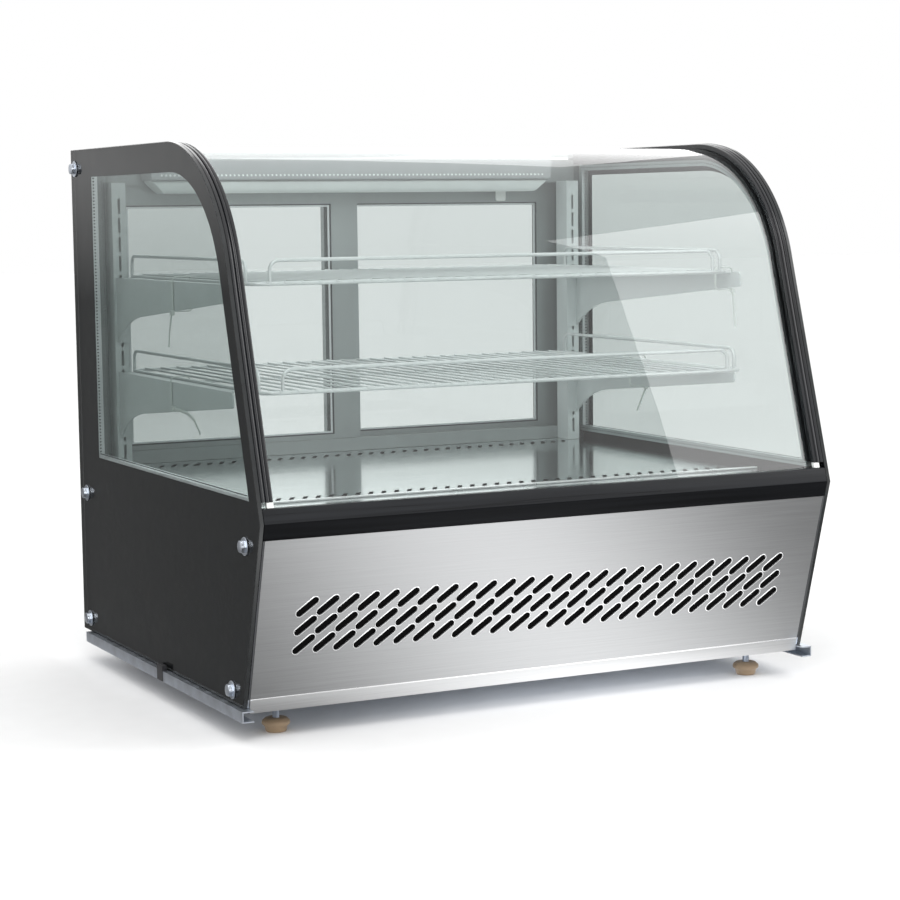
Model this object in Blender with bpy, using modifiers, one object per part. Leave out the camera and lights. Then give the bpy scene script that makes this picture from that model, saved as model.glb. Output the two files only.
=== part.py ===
"""Countertop refrigerated bakery display case with a bent glass front.

Frame: X to the right, the bent glass faces -Y, Z up, origin on the worktop
under the middle of the case. All lengths are metres.
"""
import bmesh
import bpy
from math import atan2, cos, pi, radians, sin
from mathutils import Matrix, Vector

# ------------------------------------------------------------ driving sizes
HALF_WIDTH = 0.381          # outer face of each side glass
BACK_Y = 0.322              # rear edge of the side glass
TOP_Z = 0.680               # top edge of the side glass
KNEE = (-0.322, 0.2555)     # (y, z) where the front changes slope
TOE = (-0.2598, 0.0396)     # (y, z) bottom front corner of the side glass
SHOULDER_RADIUS = 0.199     # bend at the top of the front
SCREEN_LEAN = radians(16.8)  # how far the front glass leans back from upright
SHOULDER_STEPS = 12

GAP = 0.0003                # between parts that touch
SIDE_PANE = 0.005
INNER_PANE = 0.004
SPACER = 0.0107
FRONT_PANE = 0.005
GLASS_SET_IN = 0.0075       # front glass below the edge of the side glass
DECK_TOP = 0.262
DECK_SHEET = 0.0018
SHEET = 0.0015

TRIM_REACH = 0.0205         # trim depth behind the edge of the side glass
TRIM_INNER_X = 0.361
LINER_Y = 0.2795            # front of the rear door frame
LINER_DEPTH = 0.0385
FRAME_TOP = 0.6665

DOORWAY = 0.351             # half the clear width of the doorway
DOOR_REACH = 0.0100         # how far the grooves go on beyond the doorway
DOOR_WIDTH = 0.3775
DOOR_OUTER_X = {"left": 0.3605, "right": 0.3505}   # the right door stands 10 mm short of its stop
DOOR_Z = (0.2695, 0.650)
DOOR_WINDOW_Z = (0.2865, 0.6065)
DOOR_STILE = 0.040
DOOR_THICK = 0.011
DOOR_Y = {"left": 0.290, "right": 0.306}
GROOVE = 0.0125

SHELF_HALF = 0.3285
SHELF_WIRE = 0.003
SHELF_BACK = 0.260
SHELF_LEVELS = {"lower": (0.3920, -0.2095), "upper": (0.5160, -0.1760)}
SHELF_WIRES = 29
SHELF_CORNER = 0.012
GALLERY_RISE = 0.0255
UPRIGHT_X = (0.3315, 0.3505)
UPRIGHT_Y = (0.2485, 0.2790)
BRACKET_WEB_X = 0.3460
BRACKET_FLANGE_X = 0.3298
BRACKET_SHEET = 0.0022
BRACKET_TIPS = {"lower": -0.1605, "upper": -0.1735}
TAB_X = 0.3410
SLOT_PITCH = 0.0248

BOLTS_YZ = [(0.304, 0.655), (0.290, 0.227), (0.290, 0.058), (-0.2285, 0.056), (-0.277, 0.227)]
BOLT_HOLE = 0.0036
FOOT_X, FOOT_Y = 0.325, 0.219

GRILLE_COLUMNS, GRILLE_ROWS = 26, 3
GRILLE_PITCH = (0.02516, 0.0232)
GRILLE_CENTRE = (0.0, 0.108)   # (x, distance down the panel from its top)
GRILLE_SLOT = (0.0318, 0.0085)
GRILLE_TILT = radians(39)

# ------------------------------------------------------------ empty the file
for thing in list(bpy.data.objects):
    bpy.data.objects.remove(thing)

PARTS = bpy.data.collections.new("bakery_display_case")
CUTTERS = bpy.data.collections.new("cutters")
bpy.context.scene.collection.children.link(PARTS)
bpy.context.scene.collection.children.link(CUTTERS)


# ------------------------------------------------------------ small helpers
def material(name, colour, roughness, metallic=0.0, alpha=1.0):
    """A Principled material of one colour."""
    made = bpy.data.materials.new(name)
    made.use_nodes = True
    shader = made.node_tree.nodes["Principled BSDF"]
    shader.inputs["Base Color"].default_value = (*colour, 1.0)
    shader.inputs["Roughness"].default_value = roughness
    shader.inputs["Metallic"].default_value = metallic
    shader.inputs["Alpha"].default_value = alpha
    made.diffuse_color = (*colour, alpha)
    return made


BLACK_GLASS = material("black_printed_glass", (0.012, 0.013, 0.016), 0.06)
CLEAR_GLASS = material("clear_glass", (0.75, 0.84, 0.82), 0.03, alpha=0.35)
BLACK_PLASTIC = material("black_plastic", (0.016, 0.016, 0.018), 0.30)
GREY_PLASTIC = material("grey_plastic", (0.30, 0.31, 0.32), 0.45)
WHITE_PLASTIC = material("white_plastic", (0.80, 0.81, 0.80), 0.40)
DIFFUSER = material("lamp_diffuser", (0.90, 0.93, 0.92), 0.35)
STEEL = material("satin_steel", (0.56, 0.57, 0.58), 0.28, 1.0)
MIRROR_STEEL = material("mirror_steel", (0.64, 0.66, 0.66), 0.06, 1.0)
ZINC = material("zinc_plate", (0.60, 0.63, 0.68), 0.35, 1.0)
ALUMINIUM = material("grey_aluminium", (0.34, 0.36, 0.37), 0.40, 0.6)
SPACER_METAL = material("spacer_aluminium", (0.62, 0.65, 0.66), 0.40, 0.8)
WIRE_METAL = material("zinc_wire", (0.72, 0.74, 0.75), 0.30, 0.8)
BRACKET_PAINT = material("bracket_grey", (0.46, 0.47, 0.46), 0.45)
FOAM_LINER = material("white_liner", (0.72, 0.73, 0.72), 0.50)
COIL_METAL = material("coil_fins", (0.55, 0.57, 0.58), 0.35, 1.0)
MACHINE_BLACK = material("machine_black", (0.02, 0.02, 0.022), 0.40)
FOOT_BROWN = material("foot_brown", (0.34, 0.22, 0.13), 0.55)


def keep(thing, look=None, collection=PARTS):
    """Link an object to its collection and give it its material."""
    collection.objects.link(thing)
    if look:
        thing.data.materials.append(look)
    if collection is CUTTERS:
        thing.hide_render = True
        thing.display_type = "WIRE"
    return thing


TURNS = {"YZ": (pi / 2, 0, pi / 2), "XZ": (pi / 2, 0, 0), "XY": (0, 0, 0)}


def slab(name, outlines, thickness, plane, centre, look, collection=PARTS):
    """Flat outlines (the first is the border, the rest are holes) made solid.

    plane names the two axes that the outlines are drawn in. centre is the
    middle of the thickness along the third axis.
    """
    curve = bpy.data.curves.new(name, "CURVE")
    curve.dimensions = "2D"
    curve.fill_mode = "BOTH"
    curve.extrude = thickness / 2
    for outline in outlines:
        spline = curve.splines.new("POLY")
        spline.points.add(len(outline) - 1)
        for point, (u, v) in zip(spline.points, outline):
            point.co = (u, v, 0, 1)
        spline.use_cyclic_u = True
    thing = bpy.data.objects.new(name, curve)
    thing.rotation_euler = TURNS[plane]
    offset = {"YZ": (centre, 0, 0), "XZ": (0, centre, 0), "XY": (0, 0, centre)}
    thing.location = offset[plane]
    return keep(thing, look, collection)


def box_mesh(name, size):
    """A mesh box about its own middle."""
    mesh = bpy.data.meshes.new(name)
    shape = bmesh.new()
    bmesh.ops.create_cube(shape, size=1.0)
    bmesh.ops.scale(shape, vec=size, verts=shape.verts)
    shape.to_mesh(mesh)
    shape.free()
    return mesh


def box(name, low, high, look=None, collection=PARTS):
    """A box between two corners, its origin in its middle."""
    size = [b - a for a, b in zip(low, high)]
    thing = bpy.data.objects.new(name, box_mesh(name, size))
    thing.location = [(a + b) / 2 for a, b in zip(low, high)]
    return keep(thing, look, collection)


def tube(name, points, radius, look=None, collection=PARTS, sides=2):
    """A round wire through the points, with filled ends."""
    curve = bpy.data.curves.new(name, "CURVE")
    curve.dimensions = "3D"
    curve.bevel_depth = radius
    curve.bevel_resolution = sides
    curve.use_fill_caps = True
    spline = curve.splines.new("POLY")
    spline.points.add(len(points) - 1)
    for point, place in zip(spline.points, points):
        point.co = (*place, 1)
    return keep(bpy.data.objects.new(name, curve), look, collection)


def as_mesh(thing):
    """Replace a curve object with a mesh object of the same shape."""
    bpy.context.view_layer.update()
    seen = thing.evaluated_get(bpy.context.evaluated_depsgraph_get())
    mesh = bpy.data.meshes.new_from_object(seen)
    shape = bmesh.new()
    shape.from_mesh(mesh)
    bmesh.ops.remove_doubles(shape, verts=shape.verts, dist=1e-6)
    bmesh.ops.recalc_face_normals(shape, faces=shape.faces)
    shape.to_mesh(mesh)
    shape.free()
    name, place, home = thing.name, thing.matrix_world.copy(), thing.users_collection[0]
    bpy.data.objects.remove(thing)
    made = bpy.data.objects.new(name, mesh)
    made.matrix_world = place
    home.objects.link(made)
    if home is CUTTERS:
        made.hide_render = True
        made.display_type = "WIRE"
    return made


def boolean(thing, tool, operation):
    """Cut, or join, one mesh object by another that stays as its cutter."""
    step = thing.modifiers.new(operation.lower() + "_" + tool.name, "BOOLEAN")
    step.object = tool
    step.operation = operation
    step.solver = "EXACT"


def cut(thing, tool):
    boolean(thing, tool, "DIFFERENCE")


def weld(thing, tool):
    boolean(thing, tool, "UNION")


def joined_cutter(name, meshes_and_places):
    """Several separate closed meshes as one cutter object."""
    whole = bmesh.new()
    for mesh, place in meshes_and_places:
        part = bmesh.new()
        part.from_mesh(mesh)
        part.transform(place)
        scratch = bpy.data.meshes.new("scratch")
        part.to_mesh(scratch)
        part.free()
        whole.from_mesh(scratch)
        bpy.data.meshes.remove(scratch)
    mesh = bpy.data.meshes.new(name)
    whole.to_mesh(mesh)
    whole.free()
    return keep(bpy.data.objects.new(name, mesh), None, CUTTERS)


def cylinder_mesh(name, radius, depth, sides=16):
    """A mesh cylinder about its own middle along Z."""
    mesh = bpy.data.meshes.new(name)
    shape = bmesh.new()
    bmesh.ops.create_cone(shape, cap_ends=True, segments=sides, radius1=radius, radius2=radius, depth=depth)
    shape.to_mesh(mesh)
    shape.free()
    return mesh


def round_object(name, radius, depth, centre, along, look=None, collection=PARTS, sides=16):
    """A cylinder along X, Y or Z."""
    thing = bpy.data.objects.new(name, cylinder_mesh(name, radius, depth, sides))
    thing.rotation_euler = {"X": (0, pi / 2, 0), "Y": (pi / 2, 0, 0), "Z": (0, 0, 0)}[along]
    thing.location = centre
    return keep(thing, look, collection)


def turned(name, profile, centre, look, steps=24):
    """A Screw of a profile given as (radius, height), from top to bottom."""
    mesh = bpy.data.meshes.new(name)
    shape = bmesh.new()
    ring = [shape.verts.new((r, 0, z)) for r, z in profile]
    for a, b in zip(ring, ring[1:]):
        shape.edges.new((a, b))
    shape.to_mesh(mesh)
    shape.free()
    thing = bpy.data.objects.new(name, mesh)
    thing.location = centre
    screw = thing.modifiers.new("turn", "SCREW")
    screw.steps = screw.render_steps = steps
    screw.use_merge_vertices = True
    screw.merge_threshold = 0.00005
    keep(thing, look)
    return thing


def circle(centre, radius, sides=12):
    """Points of a round hole."""
    u, v = centre
    return [(u + radius * cos(2 * pi * i / sides), v + radius * sin(2 * pi * i / sides)) for i in range(sides)]


def rectangle(u0, v0, u1, v1):
    return [(u0, v0), (u1, v0), (u1, v1), (u0, v1)]


def stadium(centre, length, width, tilt, arc_steps=3):
    """A slot with round ends, turned by tilt."""
    u, v = centre
    reach = (length - width) / 2
    points = []
    for end in (0, 1):
        for i in range(arc_steps + 1):
            a = -pi / 2 + pi * i / arc_steps + end * pi
            x = (reach if end == 0 else -reach) + width / 2 * cos(a)
            y = width / 2 * sin(a)
            points.append((u + x * cos(tilt) - y * sin(tilt), v + x * sin(tilt) + y * cos(tilt)))
    return points


def leaning_slot(centre, length, width, tilt):
    """A slot as a slanted four-sided hole."""
    u, v = centre
    dx, dy = length / 2 * cos(tilt), length / 2 * sin(tilt)
    return [(u - dx - width / 2, v - dy), (u - dx + width / 2, v - dy),
            (u + dx + width / 2, v + dy), (u + dx - width / 2, v + dy)]


# ------------------------------------------------------- the side profile
# The screen line and the toe line are the two straight runs of the front.
SCREEN_NORMAL = Vector((-cos(SCREEN_LEAN), sin(SCREEN_LEAN)))
TOE_RUN = Vector((TOE[0] - KNEE[0], TOE[1] - KNEE[1])).normalized()
TOE_NORMAL = Vector((TOE_RUN.y, -TOE_RUN.x))
SHOULDER = Vector((0.0, TOP_Z - SHOULDER_RADIUS))
SHOULDER.x = (SCREEN_NORMAL.dot(Vector(KNEE)) - SHOULDER_RADIUS
              - SCREEN_NORMAL.y * SHOULDER.y) / SCREEN_NORMAL.x


def screen_y(z, inset=0.0):
    """Y of the leaning screen line at height z, moved in by inset."""
    return (SCREEN_NORMAL.dot(Vector(KNEE)) - inset - SCREEN_NORMAL.y * z) / SCREEN_NORMAL.x


def toe_y(z, inset=0.0):
    """Y of the line from the knee to the toe at height z, moved in by inset."""
    return (TOE_NORMAL.dot(Vector(KNEE)) - inset - TOE_NORMAL.y * z) / TOE_NORMAL.x


def knee(inset):
    """The corner where the two lines meet, both moved in by inset."""
    a, b = SCREEN_NORMAL, TOE_NORMAL
    p, q = a.dot(Vector(KNEE)) - inset, b.dot(Vector(KNEE)) - inset
    det = a.x * b.y - a.y * b.x
    return ((p * b.y - q * a.y) / det, (a.x * q - b.x * p) / det)


def shoulder(inset, back_y, low_z):
    """Top line, shoulder arc and screen line from the back to the front."""
    radius = SHOULDER_RADIUS - inset
    points = [(back_y, TOP_Z - inset)]
    for i in range(SHOULDER_STEPS + 1):
        a = pi / 2 + (pi / 2 - SCREEN_LEAN) * i / SHOULDER_STEPS
        points.append((SHOULDER.x + radius * cos(a), SHOULDER.y + radius * sin(a)))
    points.append((screen_y(low_z, inset), low_z))
    return points


def band(outer, inner, back_y, low_z):
    """The outline between two insets of the shoulder line."""
    return shoulder(outer, back_y, low_z) + shoulder(inner, back_y, low_z)[::-1]


SIDES = {"left": -1, "right": 1}

# ------------------------------------------------- base cabinet and rails
CABINET_X = HALF_WIDTH - SIDE_PANE - GAP
PANEL_HALF = 0.3733
PANEL_SHEET = 0.0012
SILL_BOTTOM, SILL_TOP = 0.2372, 0.2725
SILL_THICK = 0.010
PAN_Z = 0.0400


def base_cabinet():
    """Sheet floor with two side walls, open at the front, back and top."""
    top = DECK_TOP - DECK_SHEET - GAP
    outline = [(BACK_Y - 0.004, PAN_Z), (BACK_Y - 0.004, top),
               (screen_y(top, SILL_THICK + GAP), top),
               (knee(SILL_THICK + GAP)[0], KNEE[1]),
               (toe_y(SILL_BOTTOM - GAP, SILL_THICK + GAP), SILL_BOTTOM - GAP),
               (toe_y(SILL_BOTTOM - GAP, 0.0008), SILL_BOTTOM - GAP),
               (toe_y(PAN_Z, 0.0008), PAN_Z)]
    cabinet = as_mesh(slab("base_cabinet", [outline], 2 * CABINET_X, "YZ", 0, None))
    cabinet.data.materials.append(ZINC)
    hollow = box("cabinet_hollow", (-CABINET_X + SHEET, -0.4, PAN_Z + SHEET),
                 (CABINET_X - SHEET, 0.4, 0.3), None, CUTTERS)
    cut(cabinet, hollow)
    cut(cabinet, bolt_holes())
    cut(cabinet, foot_holes())


def bolt_holes():
    """Round cutters through both walls, one for each side bolt."""
    mesh = cylinder_mesh("bolt_hole", BOLT_HOLE, 0.03, 8)
    places = []
    for side in SIDES.values():
        for y, z in BOLTS_YZ:
            turn = Matrix.Rotation(pi / 2, 4, "Y")
            places.append((mesh, Matrix.Translation((side * (CABINET_X - 0.002), y, z)) @ turn))
    return joined_cutter("bolt_holes", places)


def foot_holes():
    """Clearance holes for the studs of the feet."""
    mesh = cylinder_mesh("foot_hole", 0.0060, 0.02, 8)
    places = [(mesh, Matrix.Translation((x, y, PAN_Z)))
              for x in (-FOOT_X, FOOT_X) for y in (-FOOT_Y, FOOT_Y)]
    return joined_cutter("foot_holes", places)


def rails():
    """Zinc channels that carry the side glass, open towards the middle."""
    outer, inner = 0.3877, 0.3737
    low, high = 0.0262, 0.0393
    for name, side in SIDES.items():
        outline = [(outer, low), (outer, high), (inner, high), (inner, high - SHEET),
                   (outer - SHEET, high - SHEET), (outer - SHEET, low + SHEET),
                   (inner, low + SHEET), (inner, low)]
        if side < 0:
            outline = [(-x, z) for x, z in outline][::-1]
        slab("rail_" + name, [outline], 0.567, "XZ", 0.0095, ZINC)


def front_sill():
    """Dark moulding bent over the knee, between the glass and the panel."""
    outline = [(screen_y(SILL_TOP), SILL_TOP), KNEE, (toe_y(SILL_BOTTOM), SILL_BOTTOM),
               (toe_y(SILL_BOTTOM, SILL_THICK), SILL_BOTTOM), knee(SILL_THICK),
               (screen_y(SILL_TOP, SILL_THICK), SILL_TOP)]
    slab("front_sill", [outline], 2 * CABINET_X, "YZ", 0, BLACK_PLASTIC)


def front_grille_panel():
    """Steel front with its bottom lip folded under, and the slanted slots."""
    top = SILL_BOTTOM - GAP
    fold = Vector((toe_y(0.0497), 0.0497))
    lip = Vector((fold.x + 0.0026, 0.0331))
    outline = [(toe_y(top), top), tuple(fold), tuple(lip),
               (lip.x + 0.013, lip.y), (lip.x + 0.013, lip.y + PANEL_SHEET),
               (lip.x + PANEL_SHEET, lip.y + PANEL_SHEET),
               (fold.x + PANEL_SHEET, fold.y), (toe_y(top, PANEL_SHEET), top)]
    panel = as_mesh(slab("front_grille_panel", [outline], 2 * PANEL_HALF, "YZ", 0, None))
    panel.data.materials.append(STEEL)
    slots = []
    for row in range(GRILLE_ROWS):
        for column in range(GRILLE_COLUMNS):
            u = GRILLE_CENTRE[0] + (column - (GRILLE_COLUMNS - 1) / 2) * GRILLE_PITCH[0]
            v = -GRILLE_CENTRE[1] + (row - (GRILLE_ROWS - 1) / 2) * GRILLE_PITCH[1]
            slots.append(stadium((u, v), *GRILLE_SLOT, GRILLE_TILT))
    cutter = slab("grille_slots", slots, 0.012, "XY", 0, None, CUTTERS)
    # The slots are drawn with v up the panel, then leaned back to lie on it.
    lean = atan2(-TOE_RUN.y, TOE_RUN.x)
    cutter.rotation_euler = (pi - lean, 0, 0)
    cutter.location = (0, toe_y(top), top)
    cut(panel, as_mesh(cutter))
    panel.modifiers[-1].use_self = True


# ---------------------------------------------------------- glass envelope
def side_glass():
    """Outer panes with the bolt holes, printed black around a window."""
    outline = shoulder(0, BACK_Y, KNEE[1]) + [TOE, (BACK_Y, TOE[1])]
    holes = [circle(place, BOLT_HOLE, 8) for place in BOLTS_YZ]
    for name, side in SIDES.items():
        slab("side_glass_" + name, [outline] + holes, SIDE_PANE, "YZ",
             side * (HALF_WIDTH - SIDE_PANE / 2), BLACK_GLASS)


INNER_EDGE = 0.0215          # inner panes and spacers, in from the profile
INNER_BACK = LINER_Y - 0.0008
SPACER_BACK = 0.2700         # the spacer's rear bar is set in behind its sealant
SPACER_WIDTH = 0.008


def inner_glass_and_spacers():
    """Inner panes, and the hollow spacer frames that hold them off."""
    low = DECK_TOP + GAP
    edge = shoulder(INNER_EDGE, INNER_BACK, SILL_TOP)
    foot = [(screen_y(SILL_TOP, INNER_EDGE), low), (INNER_BACK, low)]
    ring = shoulder(INNER_EDGE, SPACER_BACK, SILL_TOP) + [(foot[0][0], low), (SPACER_BACK, low)]
    inside = shoulder(INNER_EDGE + SPACER_WIDTH, SPACER_BACK - SPACER_WIDTH, SILL_TOP + SPACER_WIDTH)
    hole = inside + [(SPACER_BACK - SPACER_WIDTH, SILL_TOP + SPACER_WIDTH)]
    for name, side in SIDES.items():
        spacer_x = HALF_WIDTH - SIDE_PANE - GAP - SPACER / 2
        inner_x = spacer_x - SPACER / 2 - GAP - INNER_PANE / 2
        slab("spacer_" + name, [ring, hole], SPACER, "YZ", side * spacer_x, SPACER_METAL)
        slab("inner_glass_" + name, [edge + foot], INNER_PANE, "YZ", side * inner_x, CLEAR_GLASS)


def front_glass():
    """One pane bent over the shoulder, from the sill to the rear frame."""
    low = SILL_TOP + GAP
    outline = band(GLASS_SET_IN, GLASS_SET_IN + FRONT_PANE, LINER_Y - GAP, low)
    slab("front_glass", [outline], 2 * 0.3700, "YZ", 0, CLEAR_GLASS)


def front_trims():
    """Channel mouldings that grip the ends of the bent glass."""
    low = SILL_TOP + 0.007
    width = CABINET_X - TRIM_INNER_X
    for name, side in SIDES.items():
        middle = side * (CABINET_X + TRIM_INNER_X) / 2
        outline = band(0.0004, TRIM_REACH, LINER_Y - GAP, low)
        trim = as_mesh(slab("front_trim_" + name, [outline], width, "YZ", middle, None))
        trim.data.materials.append(BLACK_PLASTIC)
        slot = band(GLASS_SET_IN - GAP, GLASS_SET_IN + FRONT_PANE + GAP, BACK_Y, SILL_TOP - 0.01)
        slot_x = side * (0.3700 + GAP - 0.02)
        cut(trim, as_mesh(slab("glass_groove_" + name, [slot], 0.04, "YZ", slot_x, None, CUTTERS)))


# ----------------------------------------------------- rear frame and doors
def rear_frame():
    """Grey frame around the doorway, with two grooves top and bottom."""
    low = DECK_TOP + GAP
    outline = rectangle(-CABINET_X, low, CABINET_X, FRAME_TOP)
    doorway = rectangle(-DOORWAY, 0.280, DOORWAY, 0.634)
    frame = as_mesh(slab("rear_frame", [outline, doorway], LINER_DEPTH, "XZ",
                         LINER_Y + LINER_DEPTH / 2, None))
    frame.data.materials.append(ALUMINIUM)
    reach = DOORWAY + DOOR_REACH
    grooves = []
    for y in DOOR_Y.values():
        size = (2 * reach, GROOVE, 0.660 - 0.2683)
        grooves.append((box_mesh("groove", size), Matrix.Translation((0, y, (0.660 + 0.2683) / 2))))
    cut(frame, joined_cutter("door_grooves", grooves))
    cut(frame, bpy.data.objects["bolt_holes"])


def doors():
    """Two sliding doors: a grey frame with a pull recess, round a pane."""
    for name, side in SIDES.items():
        outer = side * DOOR_OUTER_X[name]
        inner = outer - side * DOOR_WIDTH
        x0, x1 = sorted((outer, inner))
        w0, w1 = x0 + DOOR_STILE, x1 - DOOR_STILE
        y = DOOR_Y[name]
        leaf = as_mesh(slab("door_frame_" + name,
                            [rectangle(x0, DOOR_Z[0], x1, DOOR_Z[1]),
                             rectangle(w0, DOOR_WINDOW_Z[0], w1, DOOR_WINDOW_Z[1])],
                            DOOR_THICK, "XZ", y, None))
        leaf.data.materials.append(ALUMINIUM)
        grip = 0.005
        cut(leaf, box("pane_groove_" + name,
                      (w0 - grip - GAP, y - 0.002 - GAP, DOOR_WINDOW_Z[0] - grip - GAP),
                      (w1 + grip + GAP, y + 0.002 + GAP, DOOR_WINDOW_Z[1] + grip + GAP), None, CUTTERS))
        pull_x = outer - side * DOOR_STILE / 2
        cut(leaf, box("pull_recess_" + name, (pull_x - 0.009, y + 0.0005, 0.390),
                      (pull_x + 0.009, y + 0.02, 0.500), None, CUTTERS))
        box("door_pane_" + name, (w0 - grip, y - 0.002, DOOR_WINDOW_Z[0] - grip),
            (w1 + grip, y + 0.002, DOOR_WINDOW_Z[1] + grip), CLEAR_GLASS)


def lamp():
    """Lamp bar under the top glass, in front of the doors."""
    for name, look, low, high, half, run, taper in (
            ("lamp_housing", GREY_PLASTIC, 0.6385, 0.6665, 0.3010, 0.042, 0.002),
            ("lamp_diffuser", DIFFUSER, 0.6215, 0.6382, 0.2970, 0.038, 0.018)):
        thing = box(name, (-half, LINER_Y - 0.0008 - run, low), (half, LINER_Y - 0.0008, high), look)
        shape = bmesh.new()
        shape.from_mesh(thing.data)
        for vert in shape.verts:
            if vert.co.z < 0:
                vert.co.x -= taper if vert.co.x > 0 else -taper
                if vert.co.y < 0:
                    vert.co.y += taper / 3
        shape.to_mesh(thing.data)
        shape.free()


# -------------------------------------------------- uprights and the shelves
def uprights():
    """Slotted channels, open to the rear, that the brackets hook into."""
    x0, x1 = UPRIGHT_X
    y0, y1 = UPRIGHT_Y
    low, high = DECK_TOP + GAP, 0.6360
    outline = [(x0, y0), (x1, y0), (x1, y1), (x1 - SHEET, y1), (x1 - SHEET, y0 + SHEET),
               (x0 + SHEET, y0 + SHEET), (x0 + SHEET, y1), (x0, y1)]
    slot = box_mesh("upright_slot", (0.0034, 0.006, 0.0195))
    for name, side in SIDES.items():
        shape = outline if side > 0 else [(-x, y) for x, y in outline][::-1]
        post = as_mesh(slab("upright_" + name, [shape], high - low, "XY", (high + low) / 2, None))
        post.data.materials.append(BRACKET_PAINT)
        count = int((high - low - 0.02) / SLOT_PITCH)
        places = [(slot, Matrix.Translation((side * TAB_X, y0 + SHEET / 2, slot_z(i))))
                  for i in range(count)]
        cut(post, joined_cutter("upright_slots_" + name, places))


def slot_z(index):
    """Middle height of one slot of the uprights."""
    return DECK_TOP + 0.021 + index * SLOT_PITCH


def bracket(name, side, top, front):
    """Bent sheet arm: an upright web, a ledge for the shelf, a rear flange."""
    back = UPRIGHT_Y[0] - GAP
    rear_height, corner = 0.086, 0.155
    start = Vector((0.160, top - 0.0485))
    lower_slope = atan2(0.0188 - 0.0485, start.x - front)
    points = [(back, top - rear_height), (back, top), (front + 0.003, top), (front, top - 0.003),
              (front, top - 0.0160), (front + 0.003, top - 0.0188)]
    # The lower edge runs straight to start, then curves down to the flange.
    steep = lower_slope
    while start.x + corner * (sin(lower_slope) - sin(steep)) < back - 0.0015:
        points.append((start.x + corner * (sin(lower_slope) - sin(steep)),
                       start.y + corner * (cos(steep) - cos(lower_slope))))
        steep -= radians(7)
    web = as_mesh(slab(name, [points], BRACKET_SHEET, "YZ", side * BRACKET_WEB_X, None))
    web.data.materials.append(BRACKET_PAINT)
    x_in, x_out = side * BRACKET_FLANGE_X, side * (BRACKET_WEB_X + BRACKET_SHEET / 2 - 0.0002)
    x0, x1 = sorted((x_in, x_out))
    weld(web, box(name + "_ledge", (x0, front + 0.020, top - 0.0017), (x1, back - 0.0002, top - 0.0002),
                  None, CUTTERS))
    foot = top - rear_height + 0.0005
    weld(web, box(name + "_flange", (x0, back - 0.0021, foot), (x1, back - 0.0001, top - 0.0004),
                  None, CUTTERS))
    for index in range(2):
        z = nearest_slot(foot + 0.020 + index * 0.045) - 0.0045
        weld(web, box("%s_tab_%d" % (name, index), (side * TAB_X - 0.0012, back - 0.001, z - 0.0045),
                      (side * TAB_X + 0.0012, back + 0.006, z + 0.0045), None, CUTTERS))


def nearest_slot(z):
    """Middle height of the slot nearest to z."""
    return slot_z(round((z - slot_z(0)) / SLOT_PITCH))


def hoop(name, start, end, rise, radius=0.0022):
    """A gallery wire: up from start, across, and down to end."""
    a, b = Vector(start), Vector(end)
    along = (b - a).normalized()
    up = Vector((0, 0, 1))
    corner = 0.012
    points = [a]
    for foot, sign in ((a, 1), (b, -1)):
        arc = []
        for i in range(5):
            t = pi / 2 * i / 4
            arc.append(foot + sign * along * corner * (1 - cos(t)) + up * (rise - corner * (1 - sin(t))))
        points += arc if sign > 0 else arc[::-1]
    points.append(b)
    return as_mesh(tube(name, points, radius, None, CUTTERS, sides=1))


def wire_shelf(name, top, front):
    """Wires from front to back in a border, with low rails on three sides."""
    border = 0.005
    x, near, far, c = SHELF_HALF, front, SHELF_BACK, SHELF_CORNER
    outline = [(-x + c, near), (x - c, near), (x, near + c), (x, far - c), (x - c, far),
               (-x + c, far), (-x, far - c), (-x, near + c)]
    pitch = (2 * SHELF_HALF - 2 * border + SHELF_WIRE) / (SHELF_WIRES + 1)
    gaps = []
    for i in range(SHELF_WIRES + 1):
        middle = -SHELF_HALF + border + i * pitch + (pitch - SHELF_WIRE) / 2
        end = 0.010 if i in (0, SHELF_WIRES) else 0
        size = (pitch - SHELF_WIRE, far - near - 2 * border - 2 * end, 0.01)
        gaps.append((box_mesh("wire_gap", size), Matrix.Translation((middle, (near + far) / 2, top))))
    deck = as_mesh(slab("shelf_" + name, [outline], SHELF_WIRE, "XY", top - SHELF_WIRE / 2, None))
    cut(deck, joined_cutter("wire_gaps_" + name, gaps))
    deck.data.materials.append(WIRE_METAL)
    foot = top - 0.0010
    reach = SHELF_HALF - 0.0025
    weld(deck, hoop("front_hoop_" + name, (-reach + 0.0225, near + 0.0025, foot),
                    (reach - 0.0225, near + 0.0025, foot), GALLERY_RISE))
    for side_name, side in SIDES.items():
        weld(deck, hoop("side_hoop_%s_%s" % (name, side_name), (side * reach, near + 0.020, foot),
                        (side * reach, far - 0.014, foot), GALLERY_RISE))


def shelves():
    """Each wire shelf rests on two brackets and lifts off with them."""
    for name, (top, front) in SHELF_LEVELS.items():
        wire_shelf(name, top, front)
        for side_name, side in SIDES.items():
            bracket("bracket_%s_%s" % (name, side_name), side, top - SHELF_WIRE - GAP, BRACKET_TIPS[name])


# ------------------------------------------------- deck and cooling parts
def deck_panel():
    """Polished deck with a row of slanted air slots front and rear."""
    front = screen_y(DECK_TOP, SILL_THICK) + 0.0006
    outline = rectangle(-CABINET_X, front, CABINET_X, BACK_Y - 0.004)
    pitch, count = 0.0170, 38
    slots = []
    for row_y in (-0.172, 0.232):
        for i in range(count):
            x = (i - (count - 1) / 2) * pitch
            slots.append(leaning_slot((x, row_y), 0.030, 0.0062, radians(62)))
    slab("deck_panel", [outline] + slots, DECK_SHEET, "XY", DECK_TOP - DECK_SHEET / 2, MIRROR_STEEL)


WELL_LOW, WELL_FLOOR = 0.158, 0.172


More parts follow.
